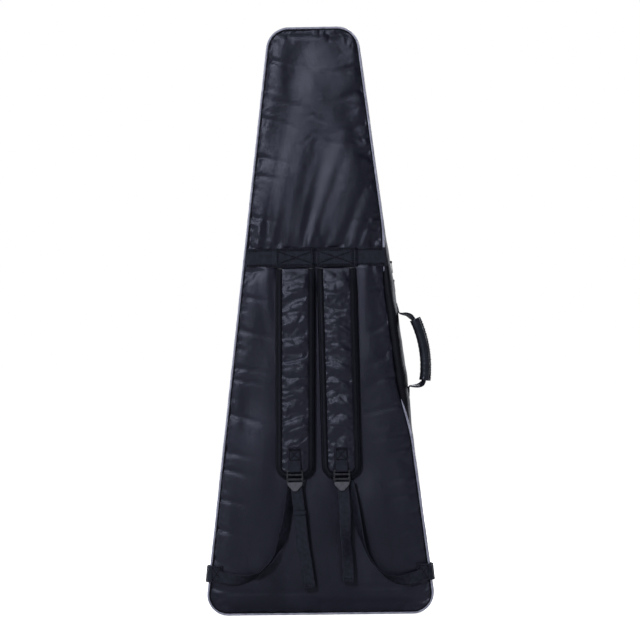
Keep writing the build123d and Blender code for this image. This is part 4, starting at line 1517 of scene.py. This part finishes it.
def buckle(name):
    """Ladder-lock buckle: frame with its bars, and the finger tab that leans outwards."""
    low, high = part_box(f"{name}_buckle")
    x = (low.x + high.x) / 2
    half = (high.x - low.x) / 2
    top, foot = high.z, low.z
    thick = high.y - low.y
    one_side = [(half - 0.6 * MM, top), (half, top - 20 * MM), (half - 1.6 * MM, foot + 14 * MM),
                (half - 6 * MM, foot + 7.5 * MM)]
    outline = corner_arcs([(-px, pz) for px, pz in one_side] + one_side[::-1],
                          [2.6 * MM, 6 * MM, 4 * MM, 3 * MM] * 2)
    inner = half - 3.3 * MM
    slots = []
    for above, below in ((3.1, 7.4), (11.0, 16.6), (20.6, 24.4)):
        a, b = top - above * MM, top - below * MM
        slots.append(corner_arcs([(-inner, a), (-inner, b), (inner, b), (inner, a)], 0.9 * MM)[::-1])
    outline = [(px, pz - BAR_Z) for px, pz in outline]
    slots = [[(px, pz - BAR_Z) for px, pz in slot] for slot in slots]
    body = plate("frame", outline[::-1], slots, thick * 0.72, 0.75 * MM, (x, BAR_Y, BAR_Z))
    wide, tip = half - 1.9 * MM, 3.4 * MM
    tab_top, tab_foot = top - 24.2 * MM, foot + 0.6 * MM
    one_side = [(wide, 0), (wide - 0.8 * MM, -6.5 * MM), (tip, tab_foot - tab_top)]
    bends = [1.2 * MM, 4 * MM, 3 * MM]
    tab = corner_arcs([(-px, pz) for px, pz in one_side] + one_side[::-1], bends + bends[::-1])
    lip = plate("tab", tab, [], 2.6 * MM, 0.8 * MM, (x, BAR_Y - 1.6 * MM, tab_top), 0.16)
    reach = np.linspace(-1, 1, 9) * (half - 1.5 * MM)
    bar = tube("bar", [(x + s, BAR_Y, BAR_Z) for s in reach], 1.6 * MM, 12)
    lip.name = f"{name}_buckle_tab"
    place(lip, TAB, "buckle_plastic", f"{name}_buckle")
    whole = joined(f"{name}_ladder_lock", [body, bar])
    place(whole, BUCKLE, "buckle_plastic", f"{name}_buckle", f"{name}_buckle")


def straps():
    """Both shoulder straps with their buckles."""
    for side, name in ((-1, "left"), (1, "right")):
        pad_binding(side, name)
        pad_body(side, name)
        strap_patch(name)
        buckle(name)


# ---------------------------------------------------------------- anchors and handle

# How far the tab stands out from the bag's side, and its y, in millimetres
ANCHOR_PLAN = ((1.4, -15), (3.4, -21), (5.6, -29), (5.2, -36), (1, -41.4), (-8, -43.2), (-18, -43),
               (-27, -42.2))


def anchors():
    """Folded webbing tabs round both edges of the bag, which hold the ends of the lower runs."""
    for side, name in ((-1, "left"), (1, "right")):
        low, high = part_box(f"{name}_anchor_tab")
        z = (low.z + high.z) / 2
        edge = half_width(z)
        plan = [(edge + out * MM, y * MM) for out, y in ANCHOR_PLAN]
        curve = nurbs_line([(side * px, py, z) for px, py in plan])
        lean = (-0.1 * side, 0, 0.995)
        outer = webbing("outer", curve, high.z - low.z, across=lean, thick=1.7 * MM, step=2 * MM)
        curve = nurbs_line([(side * (px - (1.9 * MM if py > -38 * MM else 0.6 * MM)),
                             py + (1.9 * MM if py < -30 * MM else 0), z) for px, py in plan])
        inner = webbing("inner", curve, high.z - low.z - 0.8 * MM, across=lean, thick=1.5 * MM, step=2 * MM)
        tab = joined(f"{name}_anchor", [outer, inner])
        place(tab, WEBBING, "webbing", "shell", f"{name}_anchor_tab")
        x0, x1 = sorted((side * (edge - 24 * MM), side * (edge - 6 * MM)))
        runs = box_lines(x0, x1, z - 13 * MM, z + 13 * MM, -44.1 * MM)
        stitches(f"{name}_anchor_seams", runs, TO_STRAP_SIDE, "shell")


HANDLE_FOOT_Z = 455 * MM
HANDLE_SPAN = 149 * MM
HANDLE_Y = (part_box("handle_patches")[0].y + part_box("handle_patches")[1].y) / 2
HANDLE_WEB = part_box("handle_patches")[1].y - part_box("handle_patches")[0].y
ALONG_WALL = np.array((-math.sin(TILT), 0, math.cos(TILT)))
OFF_WALL = np.array((math.cos(TILT), 0, math.sin(TILT)))
TO_POCKET_SIDE = np.array((0, 1, 0))
HANDLE_ROOT = np.array((half_width(HANDLE_FOOT_Z), HANDLE_Y, HANDLE_FOOT_Z))


def on_handle(s, n, y=0.0):
    """A point s up along the wall from the handle's lower end, n out from it and y across, in millimetres."""
    return HANDLE_ROOT + (ALONG_WALL * s + OFF_WALL * n + np.array((0, y, 0))) * MM


def handle():
    """Sewn ends on the wall, flat webbing legs, and the wrapped grip with its stitched seam."""
    span = HANDLE_SPAN / MM
    swell = 1.6
    patches, legs, seams = [], [], []
    for end, way, route in ((0, -1, ((-1, 14), (-1.5, 28), (4, 37), (14, 40.5))),
                            (span, 1, ((-3, 13), (-5, 23), (-14, 32.5), (-23, 36.5)))):

        def sewn(s, n, y=0.0):
            """A point s from this end of the handle and n out from its patch."""
            return on_handle(end + way * s, swell + n, y)

        path = [sewn(-6, 1.0), sewn(4, 1.0), sewn(14, 0.6), sewn(28, -0.6)]
        patches.append(webbing("patch", path, HANDLE_WEB, across=(0, 1, 0), step=2 * MM))
        route = [sewn(20, 1.9), sewn(6, 3.2), sewn(-1, 5.0)] + [on_handle(end + s, n) for s, n in route]
        twist = ((0, 0), (0.35, 0), (0.75, 24 * way), (1, 10 * way))
        legs.append(webbing("leg", nurbs_line(route), HANDLE_WEB * 0.92, across=(0, 1, 0), turns=twist,
                            thick=3.0 * MM, step=2 * MM))
        seams += [[sewn(6, 4.6, y), sewn(19, 2.3, y)] for y in (-9, 9)]
        seams += [[sewn(s, n, -9), sewn(s, n, 9)] for s, n in ((7, 4.5), (18, 2.4))]
        seams += [[sewn(7, 4.5, y), sewn(18, 2.4, -y)] for y in (-9, 9)]
    patch = joined("handle_end_patches", patches)
    place(patch, WEBBING, "webbing", "shell", "handle_patches")
    leg = joined("handle_webbing", legs)
    dress(leg, WEBBING)
    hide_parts("handle_legs")
    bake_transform(leg)
    stitches("handle_seams", seams, OFF_WALL, "shell")
    grip()


def grip():
    """Vinyl sleeve wrapped round the handle's webbing, closed by a stitched seam along its outer side."""
    span = HANDLE_SPAN / MM
    first, last, rise = (8.0, 39.0), (span - 17, 36.0), 8.6
    chord = math.dist(first, last) / 2
    radius = (chord ** 2 + rise ** 2) / (2 * rise)
    angles = np.linspace(-1, 1, 49) * math.asin(chord / radius)
    slope = math.atan2(last[1] - first[1], last[0] - first[0])
    along = ALONG_WALL * math.cos(slope) + OFF_WALL * math.sin(slope)
    away = OFF_WALL * math.cos(slope) - ALONG_WALL * math.sin(slope)
    hub = on_handle((first[0] + last[0]) / 2, (first[1] + last[1]) / 2) + away * (rise - radius) * MM
    rows, ridge = [], []
    sides = 28
    for i, a in enumerate(angles):
        share = abs(i / 24 - 1)
        out = away * math.cos(a) + along * math.sin(a)
        centre = hub + out * radius * MM
        flare = 10.2 + 0.7 * share ** 6 + 0.25 * math.sin(i * 1.7)
        row = []
        for k in range(sides):
            t = 2 * math.pi * k / sides
            fold = 1 + 0.03 * noise.noise(Vector((math.cos(t) * 2, math.sin(t) * 2, i / 4)))
            wide, deep = 10.6 / 10.2 * flare * fold, flare * fold
            row.append(centre + (out * math.cos(t) * deep + TO_POCKET_SIDE * math.sin(t) * wide) * MM)
        rows.append(row)
        ridge.append(centre + out * (flare + 0.5) * MM)
    hollow = []
    for end, way in ((0, 1), (-1, -1)):
        centre = np.mean(rows[end], 0)
        step = (np.mean(rows[end + way], 0) - centre)
        step /= np.linalg.norm(step)
        hollow.append([centre + (np.array(rows[end]) - centre) * share + step * deep * MM
                       for share, deep in ((0.94, -0.5), (0.84, 0.0), (0.78, 2.5))])
    rows = hollow[0][::-1] + rows + hollow[1]
    sleeve = loft("grip_sleeve", rows)
    overlap = webbing("flap", ridge, 7 * MM, across=(0, 1, 0), thick=1.5 * MM, step=2 * MM)
    whole = joined("handle_sleeve", [sleeve, overlap])
    place(whole, GRIP, "grip_wrap", "handle", "handle_grip")
    crossing = []
    path = even(ridge[2:-2], 5.2 * MM)[0]
    for p in path[:-1]:
        out = (p - hub) / np.linalg.norm(p - hub)
        for side in (-TO_POCKET_SIDE, TO_POCKET_SIDE):
            a = p + out * 0.9 * MM + side * 0.6 * MM
            crossing.append([a, a + side * 4.9 * MM - out * 0.6 * MM + ALONG_WALL * 0.8 * MM])
    stitches("grip_seam", crossing, OFF_WALL, "handle", lift=0.35 * MM)


pocket()
zip_hardware()
inside()
yoke()
straps()
anchors()
handle()
